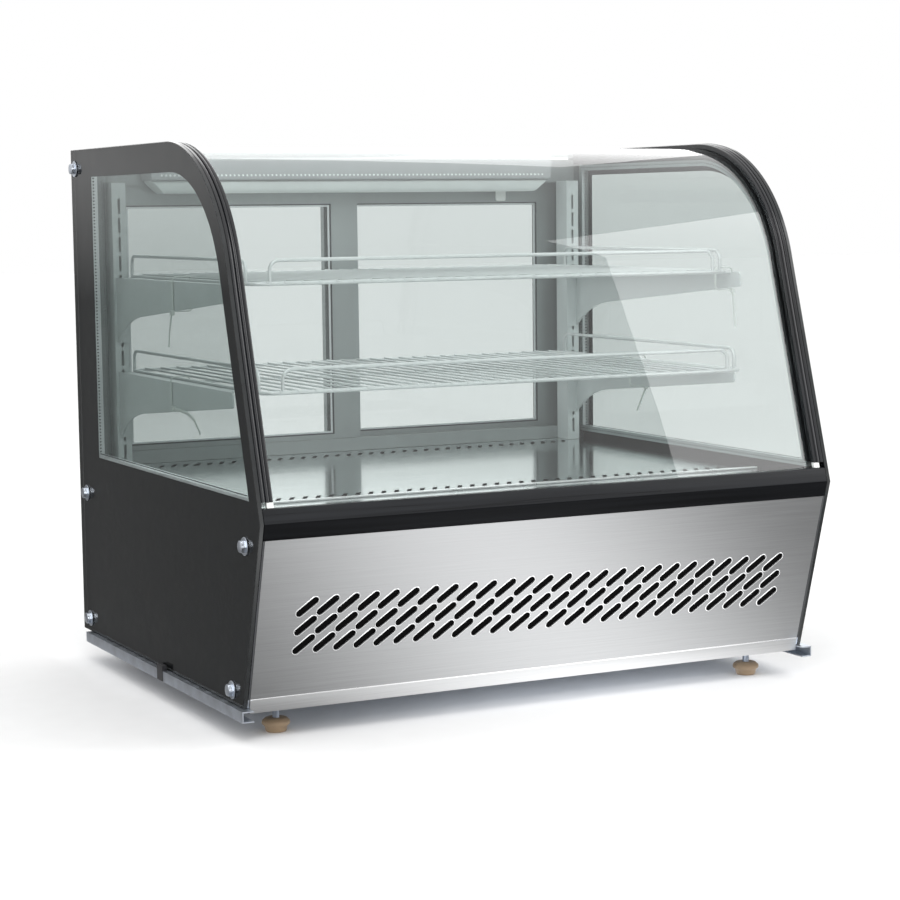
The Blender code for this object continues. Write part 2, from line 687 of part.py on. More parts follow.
def insulated_well():
    """Foamed tray under the deck that holds the coil and its fan."""
    top = DECK_TOP - DECK_SHEET - GAP
    well = box("insulated_well", (-0.352, -0.268, WELL_LOW), (0.352, 0.262, top), FOAM_LINER)
    cut(well, box("well_hollow", (-0.338, -0.254, WELL_FLOOR), (0.338, 0.248, 0.3), None, CUTTERS))
    cut(well, round_object("well_drain", 0.006, 0.1, (0.30, 0.225, WELL_LOW), "Z", None, CUTTERS, 12))


def finned_coil(name, low, high, fins, spine, look):
    """A block of upright fins standing on one spine: a comb, made solid."""
    x0, y0, z0 = low
    x1, y1, z1 = high
    pitch = (x1 - x0) / (fins - 0.25)
    fin = pitch / 4
    points = [(x0, z0)]
    for i in range(fins):
        left = x0 + i * pitch
        points += [(left, z1), (left + fin, z1)]
        if i < fins - 1:
            points += [(left + fin, z0 + spine), (left + pitch, z0 + spine)]
    points.append((x1, z0))
    slab(name, [points], y1 - y0, "XZ", (y0 + y1) / 2, look)


def fan(name, radius, centre, blades, look):
    """A hub with flat blades set at an angle, turning about Y."""
    hub = round_object(name, radius * 0.32, 0.016, centre, "Y", look, sides=16)
    places = []
    blade = box_mesh("blade", (radius * 0.42, 0.0012, radius * 0.78))
    for i in range(blades):
        spin = Matrix.Rotation(2 * pi * i / blades, 4, "Y")
        lift = Matrix.Translation((0, 0, radius * 0.60))
        pitch = Matrix.Rotation(radians(28), 4, "Z")
        places.append((blade, Matrix.Translation(centre) @ spin @ lift @ pitch))
    weld(hub, joined_cutter(name + "_blades", places))


def fan_plate(name, half_width, low_z, high_z, y, thickness, hole, axis_z, look, x=0.0):
    """A plate with a round opening for a fan, and cross arms for the motor."""
    border = rectangle(x - half_width, low_z, x + half_width, high_z)
    slab(name, [border, circle((x, axis_z), hole, 20)], thickness, "XZ", y, look)


def cooling_parts():
    """Evaporator and its fan in the well, condenser and compressor below."""
    finned_coil("evaporator_coil", (-0.30, -0.060, WELL_FLOOR + 0.0003), (0.12, 0.030, 0.245), 22,
                0.010, COIL_METAL)
    fan_plate("evaporator_fan_plate", 0.052, WELL_FLOOR + GAP, 0.246, 0.052, 0.003, 0.032, 0.209,
              GREY_PLASTIC, x=-0.09)
    fan("evaporator_fan", 0.030, (-0.09, 0.052, 0.209), 5, MACHINE_BLACK)
    low = PAN_Z + SHEET + GAP
    finned_coil("condenser_coil", (-0.26, -0.200, low), (0.06, -0.160, 0.148), 22, 0.010, COIL_METAL)
    fan_plate("condenser_fan_plate", 0.075, low, 0.150, -0.140, 0.003, 0.038, 0.096, ZINC, x=-0.10)
    fan("condenser_fan", 0.0355, (-0.10, -0.140, 0.096), 5, MACHINE_BLACK)
    compressor()
    tray = box("condensate_tray", (-0.30, 0.150, low), (0.02, 0.262, 0.066), WHITE_PLASTIC)
    cut(tray, box("tray_hollow", (-0.2975, 0.1525, low + 0.002), (0.0175, 0.2595, 0.1), None, CUTTERS))


def compressor():
    """Welded pot of the compressor, turned about its upright axis."""
    low = PAN_Z + SHEET + GAP
    radius, height = 0.062, 0.104
    profile = [(0, height)]
    for i in range(1, 5):
        a = pi / 2 * i / 4
        profile.append((radius * sin(a), height - 0.030 * (1 - cos(a))))
    profile += [(radius, 0.052), (radius + 0.004, 0.050), (radius + 0.004, 0.046), (radius, 0.044),
                (radius, 0.016)]
    for i in range(1, 4):
        a = pi / 2 * i / 3
        profile.append((radius * (1 - 0.25 * (1 - cos(a))), 0.016 - 0.010 * sin(a)))
    profile += [(0.040, 0.006), (0.040, 0), (0, 0)]
    pot = turned("compressor", profile, (0.225, 0.080, low), MACHINE_BLACK)
    for polygon in pot.data.polygons:
        polygon.use_smooth = True


# --------------------------------------------------------- rear service side
REAR_SHEET_Y = BACK_Y - 0.0085
CONTROL_X, CONTROL_Z = 0.235, 0.205
ROCKER_THROW = radians(12)   # from off to on


def rear_panel():
    """Vented sheet behind the machine space, with the control opening."""
    low, high = PAN_Z + SHEET + GAP, DECK_TOP - DECK_SHEET - GAP
    border = rectangle(-CABINET_X + SHEET + GAP, low, CABINET_X - SHEET - GAP, high)
    holes = []
    for column in range(4):
        for row in range(9):
            x = -0.30 + column * 0.105
            z = 0.075 + row * 0.0125
            holes.append(rectangle(x - 0.0425, z - 0.0025, x + 0.0425, z + 0.0025))
    holes.append(rectangle(CONTROL_X - 0.0650, CONTROL_Z - 0.0185, CONTROL_X + 0.0650, CONTROL_Z + 0.0185))
    holes.append(circle((0.320, 0.075), 0.0095, 16))
    slab("rear_panel", [border] + holes, SHEET, "XZ", REAR_SHEET_Y - SHEET / 2, STEEL)


def controls():
    """Control plate: a sealed thermostat and two rocker switches."""
    plate_front = REAR_SHEET_Y + GAP
    border = rectangle(CONTROL_X - 0.072, CONTROL_Z - 0.025, CONTROL_X + 0.072, CONTROL_Z + 0.025)
    holes = []
    for centre in switch_centres():
        holes.append(rectangle(centre - 0.0085, CONTROL_Z - 0.0135, centre + 0.0085, CONTROL_Z + 0.0135))
    screen = CONTROL_X - 0.025
    holes.append(rectangle(screen - 0.0365, CONTROL_Z - 0.0145, screen + 0.0365, CONTROL_Z + 0.0145))
    slab("control_plate", [border] + holes, 0.0024, "XZ", plate_front + 0.0012, BLACK_PLASTIC)
    box("thermostat", (screen - 0.036, plate_front - 0.045, CONTROL_Z - 0.014),
        (screen + 0.036, plate_front + 0.0060, CONTROL_Z + 0.014), MACHINE_BLACK)
    for name, centre in zip(("power_rocker", "light_rocker"), switch_centres()):
        rocker(name, centre, plate_front)


def switch_centres():
    return CONTROL_X + 0.028, CONTROL_X + 0.053


def rocker(name, centre, face):
    """A rocker key: two flats that meet at a shallow angle, hinged along X."""
    off = -ROCKER_THROW / 2
    outline = [(0.0055, -0.0115), (0.0020, 0.0), (0.0055, 0.0115), (-0.004, 0.0095), (-0.004, -0.0095)]
    tilted = [(y * cos(off) - z * sin(off), y * sin(off) + z * cos(off)) for y, z in outline]
    key = slab(name, [tilted], 0.015, "YZ", centre, BLACK_PLASTIC)
    key.location = (centre, face + 0.0010, CONTROL_Z)


def cable_gland():
    """Ribbed grommet in the rear panel where the supply cord would enter."""
    bore, neck, flange = 0.0045, 0.0090, 0.0130
    profile = [(neck, 0.012), (neck, 0.0002), (flange, 0.0002), (flange, -0.003), (0.0105, -0.008),
               (0.0080, -0.008), (bore, -0.008), (bore, 0.012), (neck, 0.012)]
    gland = turned("cable_gland", profile, (0.320, REAR_SHEET_Y + 0.0005, 0.075), BLACK_PLASTIC, 20)
    gland.rotation_euler = (pi / 2, 0, 0)


# ---------------------------------------------------------- bolts and feet
def bolts():
    """Hex screws with washers that hold the side glass."""
    washer = round_object("bolt_washer", 0.0105, 0.0016, (0, 0, 0.0008), "Z", None, CUTTERS, 14)
    head = round_object("bolt_head", 0.0078, 0.0062, (0, 0, 0.0040), "Z", None, CUTTERS, 6)
    shank = round_object("bolt_master", 0.0030, 0.0164, (0, 0, -0.0074), "Z", None, CUTTERS, 8)
    weld(shank, washer)
    weld(shank, head)
    bpy.context.view_layer.update()
    seen = shank.evaluated_get(bpy.context.evaluated_depsgraph_get())
    mesh = bpy.data.meshes.new_from_object(seen)
    mesh.transform(shank.matrix_world)
    mesh.materials.append(ZINC)
    for tool in (shank, washer, head):
        bpy.data.objects.remove(tool)
    for name, side in SIDES.items():
        for number, (y, z) in enumerate(BOLTS_YZ, 1):
            bolt = bpy.data.objects.new("side_bolt_%s_%d" % (name, number), mesh)
            bolt.rotation_euler = (0, side * pi / 2, 0)
            bolt.location = (side * (HALF_WIDTH + GAP), y, z)
            keep(bolt)


def feet():
    """Screw-in feet: a zinc stud in a waisted plastic pad, as one solid."""
    profile = [(0, 0.0560), (0.0036, 0.0560), (0.0042, 0.0552), (0.0042, 0.0162), (0.0120, 0.0160),
               (0.0165, 0.0125), (0.0165, 0.0095), (0.0135, 0.0072), (0.0120, 0.0010), (0.0115, 0.0),
               (0, 0)]
    number = 0
    for y in (-FOOT_Y, FOOT_Y):
        for x in (-FOOT_X, FOOT_X):
            number += 1
            foot = turned("foot_%d" % number, profile, (x, y, 0), FOOT_BROWN, 14)
            for polygon in foot.data.polygons:
                polygon.use_smooth = True


base_cabinet()
rails()
front_sill()
front_grille_panel()
side_glass()
inner_glass_and_spacers()
front_glass()
front_trims()
rear_frame()
doors()
lamp()
uprights()
shelves()
deck_panel()
insulated_well()
cooling_parts()
rear_panel()
controls()
cable_gland()
bolts()
feet()
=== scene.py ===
# %% [markdown]
# # A countertop bakery case, made piece by piece
# The real object is a chilled display case: a sheet metal base with a cooling
# machine, two flat side glasses, one glass bent over the top, two wire shelves
# and a pair of sliding doors at the back. The solids of the case are loaded
# first as a fixed frame. Pieces whose shape is already right only get a better
# finish. The others are made again here with rounder edges and finer detail.

# %% Load the frame
import bmesh
import bpy
import numpy as np
from math import cos, pi, radians, sin
from mathutils import Matrix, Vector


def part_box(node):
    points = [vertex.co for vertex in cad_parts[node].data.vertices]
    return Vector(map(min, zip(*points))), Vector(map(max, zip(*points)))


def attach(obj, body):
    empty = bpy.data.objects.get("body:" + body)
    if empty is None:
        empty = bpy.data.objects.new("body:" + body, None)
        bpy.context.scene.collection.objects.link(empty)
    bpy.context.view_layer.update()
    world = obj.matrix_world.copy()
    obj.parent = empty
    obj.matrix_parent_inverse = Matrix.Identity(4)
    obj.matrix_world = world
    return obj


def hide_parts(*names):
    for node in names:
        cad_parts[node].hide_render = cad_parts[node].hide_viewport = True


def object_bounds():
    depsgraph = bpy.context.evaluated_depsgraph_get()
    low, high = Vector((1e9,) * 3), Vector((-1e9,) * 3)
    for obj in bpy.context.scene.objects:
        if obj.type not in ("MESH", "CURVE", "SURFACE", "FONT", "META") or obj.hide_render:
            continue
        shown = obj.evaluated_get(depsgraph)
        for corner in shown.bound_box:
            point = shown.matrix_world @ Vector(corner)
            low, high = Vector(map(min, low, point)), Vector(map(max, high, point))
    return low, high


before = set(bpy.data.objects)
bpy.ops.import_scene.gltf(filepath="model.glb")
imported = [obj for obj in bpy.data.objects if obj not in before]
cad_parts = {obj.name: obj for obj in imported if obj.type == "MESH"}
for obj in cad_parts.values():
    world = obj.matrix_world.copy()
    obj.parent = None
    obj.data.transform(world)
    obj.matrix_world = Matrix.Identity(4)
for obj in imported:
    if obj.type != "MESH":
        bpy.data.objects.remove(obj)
cad_low, cad_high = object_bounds()
SIDES = {"left": -1, "right": 1}

# %% [markdown]
# ## The line that the glass follows
# Seen from the side, the front leans back and bends into the flat top with one
# round shoulder. Glass, spacers and trims all follow this line at their own
# distance inside it. It could be drawn as a curve by hand, but a formula keeps
# every piece parallel: a level run, an arc and a leaning run that touches it.

# %% The bend line at any inset
pane_low, pane_high = (np.array(corner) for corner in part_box("side_glass_left"))
HALF_WIDTH, BACK_Y, TOP_Z, BOTTOM_Z = -pane_low[0], pane_high[1], pane_high[2], pane_low[2]
KNEE = np.array((pane_low[1], 0.2555))     # (y, z) where the front changes slope
TOE = np.array((-0.2598, BOTTOM_Z))        # (y, z) of the lowest front corner
SCREEN_LEAN = radians(16.8)
SHOULDER_RADIUS = 0.199
SCREEN_NORMAL = np.array((-cos(SCREEN_LEAN), sin(SCREEN_LEAN)))
SCREEN_REACH = SCREEN_NORMAL @ KNEE
TOE_RUN = (TOE - KNEE) / np.linalg.norm(TOE - KNEE)
TOE_NORMAL = np.array((TOE_RUN[1], -TOE_RUN[0]))
TOE_REACH = TOE_NORMAL @ KNEE
SHOULDER_Z = TOP_Z - SHOULDER_RADIUS
SHOULDER = np.array(((SCREEN_REACH - SHOULDER_RADIUS - SCREEN_NORMAL[1] * SHOULDER_Z)
                     / SCREEN_NORMAL[0], SHOULDER_Z))


def screen_y(z, inset=0.0):
    """Y of the leaning run at height z: where the normal times the point is the reach less the inset."""
    return (SCREEN_REACH - inset - SCREEN_NORMAL[1] * z) / SCREEN_NORMAL[0]


def toe_y(z, inset=0.0):
    """Y of the run below the knee at height z, by the same rule."""
    return (TOE_REACH - inset - TOE_NORMAL[1] * z) / TOE_NORMAL[0]


def knee(inset):
    """The corner of both runs moved in by inset: two linear equations solved together."""
    return np.linalg.solve(np.stack((SCREEN_NORMAL, TOE_NORMAL)),
                           np.array((SCREEN_REACH - inset, TOE_REACH - inset)))


def bend_line(inset, back, low, steps=40):
    """Points (y, z) from the back of the top to the foot: the shoulder centre plus the radius,
    less the inset, times the direction of each angle from upright to the lean, and both run ends."""
    angle = np.linspace(pi / 2, pi - SCREEN_LEAN, steps)
    arc = SHOULDER + (SHOULDER_RADIUS - inset) * np.stack((np.cos(angle), np.sin(angle)), -1)
    return np.vstack(((back, TOP_Z - inset), arc, (screen_y(low, inset), low)))


print("shoulder centre (y, z):", SHOULDER.round(4), "knee (y, z):", KNEE)

# %% [markdown]
# ## From rings to meshes
# Most pieces are a row of closed rings with a skin between them: a section
# carried along the bend, a plate with softened edges, a wire. Building them
# from boxes would leave razor edges that never catch light. One helper makes
# the skin, others make the rings, and one turns shells into a finished piece.

# %% Skins over rings
AXES = {"YZ": (2, 0, 1), "XZ": (0, 2, 1), "XY": (0, 1, 2)}   # where x, y and z come from in (u, v, w)
print("planes to draw in:", ", ".join(AXES))


def loft(rings, joined=False):
    """Skin over rings of equal size: face (i, j) joins points j and j + 1 of ring i to those
    of ring i + 1. An open row gets one flat cap at each end."""
    count, size = rings.shape[:2]
    start = np.arange(count if joined else count - 1)[:, None] * size
    point = np.arange(size)[None]
    after, following = (start + size) % (count * size), (point + 1) % size
    quads = np.stack((start + point, start + following, after + following, after + point), -1)
    faces = quads.reshape(-1, 4).tolist()
    if not joined:
        faces += [list(range(size)), list(range((count - 1) * size, count * size))]
    return rings.reshape(-1, 3), faces

# %% Outlines
CORNER_SHARE = 0.45     # a corner's curve takes up at most this share of its shorter side


def rounded(outline, radius, steps=4):
    """Each corner of a closed outline becomes a small curve: with t from 0 to 1 it is
    (1 - t) squared times A, plus 2 t (1 - t) times the corner, plus t squared times B."""
    corner = np.asarray(outline, float)
    back, ahead = np.roll(corner, 1, 0) - corner, np.roll(corner, -1, 0) - corner
    reach = np.minimum(radius, CORNER_SHARE * np.minimum(np.linalg.norm(back, axis=1),
                                                         np.linalg.norm(ahead, axis=1)))[:, None]
    a = corner + back / np.linalg.norm(back, axis=1)[:, None] * reach
    b = corner + ahead / np.linalg.norm(ahead, axis=1)[:, None] * reach
    t = np.linspace(0, 1, steps)[None, :, None]
    return ((1 - t) ** 2 * a[:, None] + 2 * t * (1 - t) * corner[:, None]
            + t ** 2 * b[:, None]).reshape(-1, 2)


def shrunk(outline, distance):
    """Moves every side inwards by distance: each corner goes along the sum of its two side
    normals, divided by one plus their dot product."""
    outline = np.asarray(outline, float)
    ahead = np.roll(outline, -1, 0) - outline
    turn = np.sign(np.sum(outline[:, 0] * np.roll(outline[:, 1], -1)
                          - np.roll(outline[:, 0], -1) * outline[:, 1]))
    ahead /= np.linalg.norm(ahead, axis=1)[:, None]
    normal = turn * np.stack((-ahead[:, 1], ahead[:, 0]), -1)
    before = np.roll(normal, 1, 0)
    return outline + distance * (normal + before) / (1 + np.sum(normal * before, 1))[:, None]


def rectangle(u0, v0, u1, v1):
    """Corners of a rectangle, in order."""
    return np.array(((u0, v0), (u1, v0), (u1, v1), (u0, v1)))


print("points of a rounded square:", len(rounded(rectangle(0, 0, 1, 1), 0.1)))

# %% Plates and copies
def placed(outline, level, plane):
    """Points (u, v) at the height w = level, put into the axes of the plane."""
    points = np.column_stack((outline, np.full(len(outline), level)))
    return points[:, AXES[plane]]


def plate(outline, low, high, plane, edge=0.0004):
    """A flat outline made thick from low to high, with its edges cut back by edge: four rings."""
    small = shrunk(outline, edge)
    levels = ((small, low), (outline, low + edge), (outline, high - edge), (small, high))
    return loft(np.stack([placed(ring, level, plane) for ring, level in levels]))


def copies(shell, offsets):
    """The same shell moved by each offset: points plus offset, face numbers plus the points before."""
    points, faces = shell
    offsets = np.asarray(offsets, float)
    moved = (points[None] + offsets[:, None]).reshape(-1, 3)
    return moved, [[corner + k * len(points) for corner in face]
                   for k in range(len(offsets)) for face in faces]


print("faces of a plate:", len(plate(rectangle(0, 0, 1, 1), 0, 0.1, "XY")[1]))

# %% Bars, wires, turned shapes and mouldings
def bent_bar(section, back, low):
    """A section of (x, inset) points carried along the bend line: ring i holds point i of
    each inset's own line."""
    section = np.asarray(section, float)
    lines = np.stack([bend_line(inset, back, low) for inset in section[:, 1]], 1)
    return loft(np.concatenate((np.broadcast_to(section[None, :, :1], (*lines.shape[:2], 1)), lines), -1))


def wire(path, radius, across, flat=1.0, sides=8, joined=False):
    """A tube round a path: each point plus the radius times cosine a along across, which is
    square to the path's plane, and sine a times flat along the third direction."""
    path, across = np.asarray(path, float), np.asarray(across, float)
    ahead = np.roll(path, -1, 0) - np.roll(path, 1, 0) if joined else np.gradient(path, axis=0)
    ahead /= np.linalg.norm(ahead, axis=1)[:, None]
    third = np.cross(ahead, across)
    third /= np.linalg.norm(third, axis=1)[:, None]
    angle = np.linspace(0, 2 * pi, sides, endpoint=False)[None, :, None]
    return loft(path[:, None] + radius * (np.cos(angle) * across + np.sin(angle) * flat * third[:, None]),
                joined)


def turned(profile, centre, axis, sides=32):
    """A profile of (radius, height) turned about an axis: radius times (cosine a, sine a)
    beside the axis, height along it."""
    profile = np.asarray(profile, float)
    angle = np.linspace(0, 2 * pi, sides, endpoint=False)
    u, v = (profile[:, :1] * f(angle)[None] for f in (np.cos, np.sin))
    w = np.broadcast_to(profile[:, 1:], u.shape)
    order = {"X": (w, u, v), "Y": (v, w, u), "Z": (u, v, w)}[axis]
    return loft(np.stack(order, -1) + np.asarray(centre))


def border(outer, section, plane):
    """A moulding round an outline: section point (share, level) lies share metres inside the
    outline at that level. The section's ring is joined up."""
    rings = np.stack([placed(shrunk(outer, share), level, plane) for share, level in section], 1)
    return loft(rings, joined=True)


print("faces of a straight wire:", len(wire(((0, 0, 0), (0, 0, 1)), 0.1, (1, 0, 0))[1]))

# %% A sheet with holes
def sheet_with_holes(outlines, low, high, plane):
    """A flat curve filled between its border and its holes and given a thickness, as arrays."""
    curve = bpy.data.curves.new("sheet", "CURVE")
    curve.dimensions, curve.fill_mode, curve.extrude = "2D", "BOTH", (high - low) / 2
    for outline in outlines:
        spline = curve.splines.new("POLY")
        spline.points.add(len(outline) - 1)
        spline.points.foreach_set("co", np.pad(outline, ((0, 0), (0, 2))).ravel())
        spline.use_cyclic_u = True
    scratch = bpy.data.objects.new("sheet", curve)
    mesh = bpy.data.meshes.new_from_object(scratch)
    points = np.empty(len(mesh.vertices) * 3)
    mesh.vertices.foreach_get("co", points)
    points = points.reshape(-1, 3) + (0, 0, (low + high) / 2)
    faces = [list(face.vertices) for face in mesh.polygons]
    bpy.data.objects.remove(scratch)
    return points[:, AXES[plane]], faces


print("helper made: sheet_with_holes")

# %% From shells to a finished piece
WELD = 1e-6     # points closer than this become one


def piece(name, shells, finishes, body, stands_for=(), crease=35):
    """One object of several closed shells. A shell is (points, faces) or (points, faces, wear),
    where wear is the number of its finish, or one number per face."""
    points, faces, finish_numbers, start = [], [], [], 0
    for shell in shells:
        number = shell[2] if len(shell) > 2 else 0
        points.append(shell[0])
        faces += [[corner + start for corner in face] for face in shell[1]]
        finish_numbers += list(number) if np.ndim(number) else [number] * len(shell[1])
        start += len(shell[0])
    mesh = bpy.data.meshes.new(name)
    mesh.from_pydata(np.concatenate(points).tolist(), [], faces)
    mesh.polygons.foreach_set("material_index", finish_numbers)
    shape = bmesh.new()
    shape.from_mesh(mesh)
    bmesh.ops.remove_doubles(shape, verts=shape.verts, dist=WELD)
    bmesh.ops.recalc_face_normals(shape, faces=shape.faces)
    shape.to_mesh(mesh)
    shape.free()
    for look in finishes:
        mesh.materials.append(look)
    mesh.shade_smooth()
    mesh.set_sharp_from_angle(angle=radians(crease))
    made = bpy.data.objects.new(name, mesh)
    bpy.context.scene.collection.objects.link(made)
    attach(made, body)
    if stands_for:
        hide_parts(*stands_for)
    print("%-22s %6d faces" % (name, len(mesh.polygons)))
    return made


print("helper made: piece, which welds points closer than", WELD, "m")

# %% [markdown]
# ## Finishes
# Every real surface wanders a little: plating has clouds, paint has a fine
# orange peel, brushed steel has hairs. Pictures pasted on would show seams, so
# each finish is worked out from noise in the piece's own metres. One helper
# covers most of them, because paint, plastic and plating differ by numbers.

# %% Node helpers
def tree_of(name):
    """A new material, its node tree and its Principled shader."""
    made = bpy.data.materials.new(name)
    made.use_nodes = True
    return made, made.node_tree, made.node_tree.nodes["Principled BSDF"]


def node(tree, kind, **values):
    """A node of a kind. Words of an input's name are joined by underscores."""
    made = tree.nodes.new("ShaderNode" + kind)
    for key, value in values.items():
        made.inputs[key.replace("_", " ")].default_value = value
    return made


def maths(tree, operation, value=0.0):
    """A Math node, with the value as its second number."""
    made = node(tree, "Math")
    made.operation, made.inputs[1].default_value = operation, value
    return made


def connect(tree, *sockets):
    """Joins each output to the input written after it."""
    for source, target in zip(sockets[::2], sockets[1::2]):
        tree.links.new(source, target)


def clouds(tree, scale, stretch=(1.0, 1.0, 1.0), detail=3.0):
    """Soft noise from 0 to 1 in the piece's own metres, squeezed along each axis by stretch."""
    place, fit = node(tree, "TexCoord"), node(tree, "Mapping", Scale=stretch)
    noise = node(tree, "TexNoise", Scale=scale, Detail=detail)
    connect(tree, place.outputs["Object"], fit.inputs["Vector"],
            fit.outputs["Vector"], noise.inputs["Vector"])
    return noise.outputs["Fac"]


def between(tree, factor, low, high, start=0.3, end=0.7):
    """A number that goes from low to high as the factor goes from start to end."""
    span = node(tree, "MapRange", From_Min=start, From_Max=end, To_Min=low, To_Max=high)
    connect(tree, factor, span.inputs["Value"])
    return span.outputs["Result"]


def two_colours(tree, factor, first, second):
    """A colour that goes from first to second as the factor goes from 0.3 to 0.7."""
    mix = node(tree, "Mix")
    mix.data_type = "RGBA"
    mix.inputs[6].default_value, mix.inputs[7].default_value = (*first, 1), (*second, 1)
    connect(tree, between(tree, factor, 0, 1), mix.inputs[0])
    return mix.outputs[2]


print("node helpers made: tree_of, node, maths, connect, clouds, between, two_colours")

# %% The general finish
ROUGH_SPREAD, BUMP_STRENGTH, GRAIN_DETAIL = (0.85, 1.2), 0.6, 2.0


def finish(name, colour, rough, metal=0.0, tone=0.06, tone_scale=30.0, stretch=(1.0, 1.0, 1.0),
           grain=0.00002, grain_scale=900.0, **sockets):
    """Colour that wanders by the share tone, roughness by about a fifth, and a fine bump of
    depth grain."""
    made, tree, shader = tree_of(name)
    base = np.array(colour)
    cloud = clouds(tree, tone_scale, stretch)
    bump = node(tree, "Bump", Strength=BUMP_STRENGTH, Distance=grain)
    connect(tree, two_colours(tree, cloud, base * (1 - tone), np.minimum(base * (1 + tone), 1)),
            shader.inputs["Base Color"],
            between(tree, cloud, *(rough * share for share in ROUGH_SPREAD)), shader.inputs["Roughness"],
            clouds(tree, grain_scale, stretch, GRAIN_DETAIL), bump.inputs["Height"],
            bump.outputs["Normal"], shader.inputs["Normal"])
    for key, value in {"Metallic": metal, **sockets}.items():
        shader.inputs[key.replace("_", " ")].default_value = value
    return made


print("finish made: bump strength", BUMP_STRENGTH)

# %% Glass
WIPE_SCALE, WIPE_STRETCH = 9.0, (1, 1, 0.4)


def glass(name, tint, ior, smear=0.02):
    """Fresnel mixes a clear, tinted shader with a mirror whose roughness wanders like a wiped pane.
    Light isn't bent here, so the face where it leaves the pane must not mirror it back inside."""
    made, tree, shader = tree_of(name)
    tree.nodes.remove(shader)
    facing, clear = node(tree, "Fresnel", IOR=ior), node(tree, "BsdfTransparent", Color=(*tint, 1))
    mirror, mix = node(tree, "BsdfGlossy", Color=(1, 1, 1, 1)), node(tree, "MixShader")
    side, outside = node(tree, "NewGeometry"), maths(tree, "SUBTRACT")
    outside.use_clamp = True
    wiped = clouds(tree, WIPE_SCALE, WIPE_STRETCH)
    connect(tree, between(tree, wiped, 0.0, smear), mirror.inputs["Roughness"],
            facing.outputs["Fac"], outside.inputs[0], side.outputs["Backfacing"], outside.inputs[1],
            outside.outputs["Value"], mix.inputs["Fac"],
            clear.outputs["BSDF"], mix.inputs[1], mirror.outputs["BSDF"], mix.inputs[2],
            mix.outputs["Shader"], tree.nodes["Material Output"].inputs["Surface"])
    return made


print("glass made: wiped in clouds", round(1 / WIPE_SCALE, 2), "m wide")

# %% Plastics, paints and platings of the case
BLACK_INK = finish("black_ink", (0.004, 0.005, 0.006), 0.5, tone=0.3, Specular_IOR_Level=0.05)
BLACK_GLOSS = finish("black_gloss_plastic", (0.007, 0.008, 0.010), 0.20, tone=0.3, grain=0.000008,
                     grain_scale=300, stretch=(1, 0.2, 0.2))
SILL_PLASTIC = finish("sill_plastic", (0.012, 0.013, 0.015), 0.30, tone=0.4, tone_scale=160,
                      stretch=(0.02, 1, 1), grain=0.00003, grain_scale=1400, Specular_IOR_Level=0.2)
# A darker, less shiny copy of the sill's plastic for its faces that look down: painted shade.
SILL_PAINTED_SHADE = finish("sill_lower_face_painted_shade", (0.006, 0.0065, 0.0075), 0.38, tone=0.4, tone_scale=160,
                     stretch=(0.02, 1, 1), grain=0.00003, grain_scale=1400, Specular_IOR_Level=0.04)
MOULDED_BLACK = finish("moulded_black", (0.018, 0.018, 0.020), 0.42, tone=0.2, grain=0.00004)
MACHINE_PAINT = finish("machine_black", (0.016, 0.017, 0.019), 0.38, tone=0.25, grain=0.00006,
                       grain_scale=500)
GREY_PLASTIC = finish("grey_plastic", (0.42, 0.44, 0.45), 0.42, tone=0.04)
WHITE_PLASTIC = finish("white_plastic", (0.80, 0.82, 0.80), 0.38, tone=0.03)
NYLON = finish("nylon_strap", (0.66, 0.70, 0.67), 0.42, tone=0.05, Subsurface_Weight=0.15,
               Subsurface_Radius=(0.002, 0.002, 0.002))
BRACKET_PAINT = finish("bracket_paint", (0.56, 0.60, 0.60), 0.42, tone=0.03, grain=0.00003,
                       grain_scale=700)
ZINC = finish("zinc_plate", (0.56, 0.60, 0.66), 0.34, 1.0, tone=0.12, tone_scale=55, grain=0.00004)
WIRE_ZINC = finish("zinc_wire", (0.66, 0.69, 0.69), 0.40, 0.55, tone=0.05, tone_scale=140,
                   grain=0.0000008)
FRAME_GREY = finish("anodised_grey", (0.36, 0.39, 0.39), 0.42, 0.55, tone=0.05, tone_scale=50,
                    stretch=(1, 1, 0.12), grain=0.00001, grain_scale=1600)
SPACER_METAL = finish("spacer_aluminium", (0.72, 0.75, 0.76), 0.40, 0.7, tone=0.04)
# Dark colour for the spacer's holes: painted shade, standing for the hollow inside each hole.
SPACER_HOLES = finish("spacer_holes", (0.05, 0.055, 0.06), 0.7, tone=0.2)
DARK_SEALANT = finish("dark_sealant", (0.045, 0.048, 0.052), 0.62, tone=0.2, grain=0.00008,
                      grain_scale=260)
# A near-black sheet behind the grille slots: painted shade that makes them read black.
SLOT_PAINTED_SHADE = finish("slot_painted_shade", (0.003, 0.003, 0.003), 0.9, tone=0.4, tone_scale=600, grain=0.0004,
                     grain_scale=1200, Specular_IOR_Level=0.05)
COPPER = finish("copper_pipe", (0.72, 0.36, 0.22), 0.32, 1.0, tone=0.14, tone_scale=70)
FIN_METAL = finish("coil_fins", (0.60, 0.63, 0.64), 0.36, 0.95, tone=0.1, tone_scale=90)
FOAM_LINER = finish("white_liner", (0.74, 0.76, 0.75), 0.46, tone=0.03)
FOOT_TAN = finish("foot_tan", (0.33, 0.235, 0.145), 0.52, tone=0.1, grain=0.00005, grain_scale=500)
POLISHED_EDGE = finish("polished_edge", (0.016, 0.018, 0.019), 0.14, tone=0.25, tone_scale=60)
CLEAR_GLASS = glass("clear_glass", (0.900, 0.918, 0.914), 1.66)
SIDE_GLASS = glass("side_glass", (0.850, 0.868, 0.864), 1.30)
INNER_GLASS = glass("inner_glass", (0.885, 0.903, 0.899), 1.20)
DOOR_GLASS = glass("door_glass", (0.870, 0.892, 0.888), 1.50)
print("finishes:", len(bpy.data.materials))

# %% [markdown]
# ## Brushed and polished steel
# The front panel is brushed from end to end, so it smears every reflection up
# and down and shows broad upright bands of light. Scratches could be modelled,
# but there are thousands. Anisotropy in the shader gives the smear, and its
# direction comes from a UV map that runs up the panel. The deck is polished
# and mirrors the doors softly, with only faint rolling lines.

